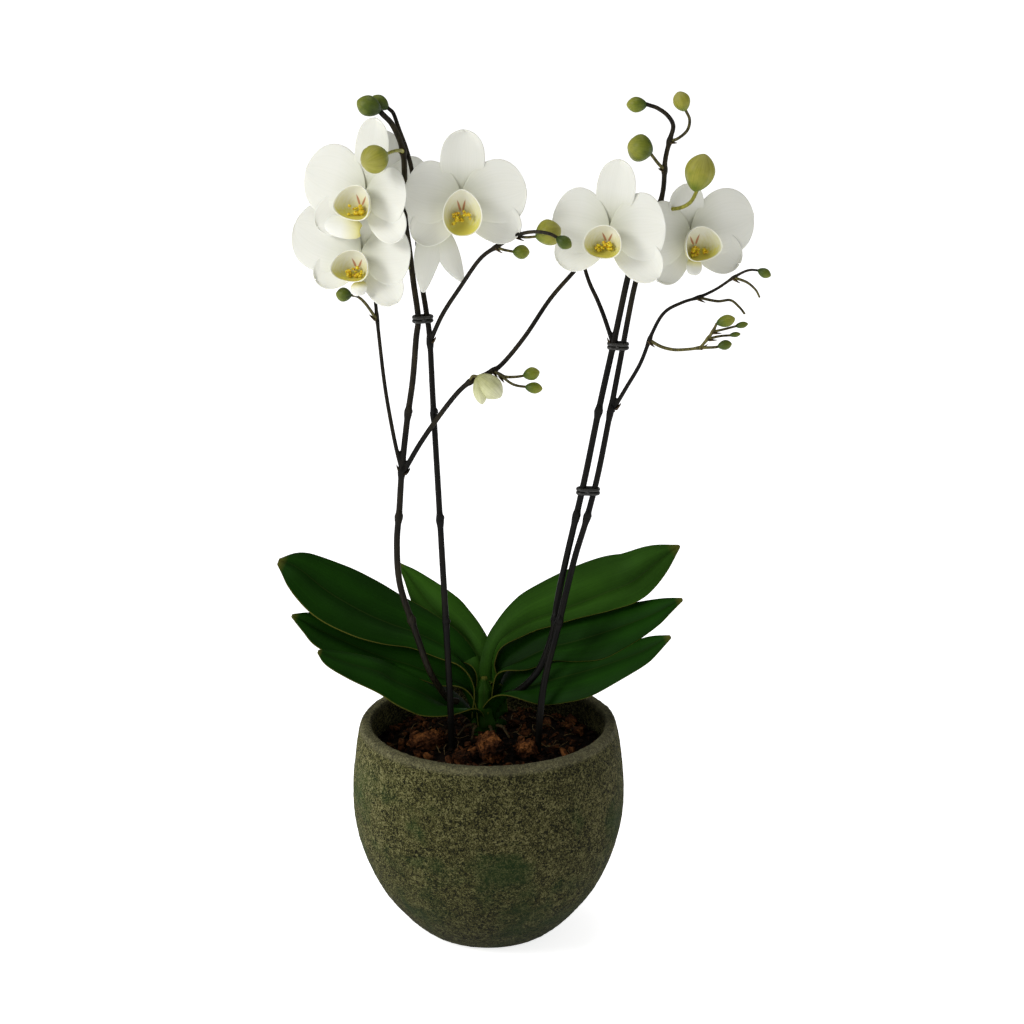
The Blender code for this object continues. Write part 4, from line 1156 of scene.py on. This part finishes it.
class ORCHID_OT_blooms(bpy.types.Operator):
    """Open the six blooms: sepals on their stalk, petals and the lip"""
    bl_idname = "orchid.blooms"
    bl_label = "Blooms"

    def execute(self, context):
        settings = context.scene.orchid_blooms
        petal = petal_finish("orchid_petal_tissue", settings, linear("#cfd0bb"))
        # the sepals' feet are painted darker than the petals': painted shadow of the petals that lie over them
        sepal = petal_finish("orchid_sepal_tissue", settings, linear("#c6c7ac"))
        lip = lip_finish(settings)
        callus = callus_finish(settings)
        front = petal_finish("orchid_lip_lobe_waxy", settings, linear("#cdc56a"))
        stalk = cane_finish("orchid_bloom_stalk", linear("#2f3214"), linear("#5c5d30"))
        for number, (name, (hub, yaw, pitch, roll, way, *tepals)) in enumerate(BLOOMS.items()):
            place = bloom_frame(hub, yaw, pitch, roll)
            made = {}
            for kind, (angle, length, half_width) in zip(TEPALS, tepals):
                sheet = thin_sheet(f"{name}_{kind}_sheet", 16, 20,
                                   tepal_place(kind, angle, length, half_width, number + angle),
                                   settings.thickness, petal if kind.startswith("petal") else sepal)
                sheet.data.transform(place)
                made[kind] = sheet
            neck = egg(name + "_neck", (0, 4.0, 0), (0, -2.0, 0), 2.6, stalk, segments=16)
            neck.data.transform(place)
            facing = place.to_3x3()
            path = smooth_path([Vector(hub) + facing @ Vector((0, 2.0, 0))] + [Vector(p) for p in way], 6)
            stem = tube(name + "_stalk", path, swollen_radii(path, 1.5, 1.1, [path[-1]]), stalk, 3)
            join(name + "_sepal_set", made["upper"], made["side_left"], made["side_right"], neck, stem)
            settle(made["upper"], "petal_tissue", name + "_sepals")
            for kind in ("petal_left", "petal_right"):
                settle(made[kind], "petal_tissue", f"{name}_{kind}")
            self.lip(name, place, number, lip, callus, front)
        self.drooping(settings.thickness, sepal, stalk)
        return {"FINISHED"}

    @staticmethod
    def lip(name, place, number, lip, callus, front):
        """The lip's cup with its warty callus and, on a turned bloom, the front lobe."""
        extents, tongue = LIPS[name]
        cup = shaped_grid(name + "_cup", 48, 20, lambda u, v: lip_place(extents, u, v))
        edit(cup, face_outwards)
        parts = [thicken(cup, 0.7 * MM, lip)]
        x, y, z = LIP_CENTRE
        chance = random.Random(number + 3)
        for _ in range(WARTS):
            side, rise = chance.uniform(-5.5, 5.5), chance.uniform(-3.6, 1.6)
            spot = Vector((x + side, y - 1.5 - 0.10 * side * side - 0.2 * abs(rise), z + rise - abs(side) * 0.2))
            reach = Vector((chance.uniform(-2.2, 2.2), -chance.uniform(1.6, 3.4), chance.uniform(-2.2, 1.6)))
            parts.append(egg("wart", spot, spot + reach, chance.uniform(0.7, 1.5), callus, segments=10))
        if tongue:
            foot, tip, half = Vector(tongue[0]), Vector(tongue[1]), tongue[2]
            across = (tip - foot).cross(Vector((0, 1, 0))).normalized()
            parts.append(thin_sheet(
                name + "_tongue", 12, 14, lambda u, v: foot.lerp(tip, 0.5 - 0.5 * math.cos(math.pi * v))
                + across * (u * half * (0.12 + math.sin(math.pi * (0.08 + 0.9 * v)) ** 0.8))
                + Vector((0, 2.6 * u * u - 1.5 * math.sin(math.pi * v), 0)), 0.7 * MM, front))
        join(name + "_lip_cup", *parts)
        cup.data.transform(place)
        settle(cup, "lip_tissue", name + "_lip")

    @staticmethod
    def drooping(thickness, sepal, stalk):
        """The half-open bloom that hangs down: two long sepals on a stalk."""
        sheets = []
        for side, (points, width) in enumerate(DROOPING_SEPALS):
            path = smooth_path(points, 12)

            def place(u, v):
                at = v * (len(path) - 1)
                i = min(int(at), len(path) - 2)
                here = path[i].lerp(path[i + 1], at - i)
                along = (path[i + 1] - path[i]).normalized()
                across = along.cross(Vector((0, 1, 0))).normalized()
                half = width * math.sin(math.pi * (0.1 + 0.885 * v)) ** 0.8 + 0.2
                return here + across * (u * half) + Vector((0, 3.0 * u * u * (1 - 0.5 * v), 0))

            sheets.append(thin_sheet(f"drooping_{side}", 12, 20, place, thickness, sepal))
        neck = egg("drooping_neck", (-35, 4, 529), (-36, 3, 519), 3.4, sepal, segments=18)
        path = smooth_path([(-35, 4, 526), (-38, 9, 529), (-43.5, 13.5, 526), (-47, 15.4, 522)], 6)
        stem = tube("drooping_stalk", path, [1.2] * len(path), stalk, 3)
        settle(join("drooping_bloom", *sheets, neck, stem), "petal_tissue", "drooping_flower")


# ---------------------------------------------------------------- stage

# light: its place and size in metres, its share of the key's power
LIGHTS = (("key", (-2.4, -1.4, 1.9), 1.2, 1.0), ("fill", (1.9, -1.8, 1.3), 1.6, 0.05),
          ("top", (0.1, 0.3, 2.6), 1.4, 0.25))
LIT_POINT = (0, 0, 0.3)
# the camera's place in metres and tilt in degrees, its lens and sensor in millimetres
CAMERA_PLACE, CAMERA_TILT = (0.0169, -2.5605, 1.174), 71.5
LENS, SENSOR = 135, 36

class ORCHID_OT_stage(bpy.types.Operator):
    """Lay a pale floor, hang soft lights and set up the camera"""
    bl_idname = "orchid.stage"
    bl_label = "Floor, light and camera"

    def execute(self, context):
        settings = context.scene.orchid_stage
        bpy.ops.object.select_all(action="DESELECT")
        bpy.ops.mesh.primitive_plane_add(size=30)
        floor = context.object
        floor.name = "floor"
        floor.data.materials.append(paper_finish(settings))

        world = bpy.data.worlds.new("studio")
        context.scene.world = world
        world.use_nodes = True
        sky = world.node_tree.nodes["Background"].inputs
        sky["Color"].default_value = (1, 1, 1, 1)
        sky["Strength"].default_value = settings.sky
        for name, spot, size, share in LIGHTS:
            bpy.ops.object.light_add(type="AREA", location=spot)
            light = context.object
            light.name = name
            light.data.energy = settings.key * share
            light.data.size = size
            light.rotation_euler = (Vector(LIT_POINT) - Vector(spot)).to_track_quat("-Z", "Y").to_euler()

        bpy.ops.object.camera_add(location=CAMERA_PLACE, rotation=(math.radians(CAMERA_TILT), 0, 0))
        camera = context.object
        camera.name = "camera"
        camera.data.lens = LENS
        camera.data.sensor_width = SENSOR
        camera.data.clip_end = 100
        context.scene.camera = camera
        context.scene.view_settings.view_transform = "Standard"
        return {"FINISHED"}


# ---------------------------------------------------------------- panel and registration

OPERATORS = (ORCHID_OT_planter, ORCHID_OT_bark, ORCHID_OT_crown, ORCHID_OT_leaves, ORCHID_OT_spikes,
             ORCHID_OT_clips, ORCHID_OT_buds, ORCHID_OT_blooms, ORCHID_OT_stage)
SETTINGS = {"orchid_planter": OrchidPlanterSettings, "orchid_leaves": OrchidLeafSettings,
            "orchid_spikes": OrchidSpikeSettings, "orchid_blooms": OrchidBloomSettings,
            "orchid_stage": OrchidStageSettings}


class ORCHID_PT_pieces(bpy.types.Panel):
    """Lists the pieces of the orchid and their settings"""
    bl_label = "Potted Moth Orchid"
    bl_idname = "ORCHID_PT_pieces"
    bl_space_type = "VIEW_3D"
    bl_region_type = "UI"
    bl_category = "Orchid"

    def draw(self, context):
        for kind in OPERATORS:
            self.layout.operator(kind.bl_idname)
        for name, kind in SETTINGS.items():
            box = self.layout.box()
            for field in kind.__annotations__:
                box.prop(getattr(context.scene, name), field)


def register():
    """Add the settings, the operators and the panel."""
    for name, kind in SETTINGS.items():
        bpy.utils.register_class(kind)
        setattr(bpy.types.Scene, name, PointerProperty(type=kind))
    for kind in OPERATORS + (ORCHID_PT_pieces,):
        bpy.utils.register_class(kind)


def unregister():
    """Take them away again."""
    for kind in reversed(OPERATORS + (ORCHID_PT_pieces,)):
        bpy.utils.unregister_class(kind)
    for name, kind in SETTINGS.items():
        delattr(bpy.types.Scene, name)
        bpy.utils.unregister_class(kind)


def main():
    """Build every piece in order."""
    register()
    bpy.ops.orchid.planter()
    bpy.ops.orchid.bark()
    bpy.ops.orchid.crown()
    bpy.ops.orchid.leaves()
    bpy.ops.orchid.spikes()
    bpy.ops.orchid.clips()
    bpy.ops.orchid.buds()
    bpy.ops.orchid.blooms()
    bpy.ops.orchid.stage()
    bpy.context.view_layer.update()


if __name__ == "__main__":
    main()
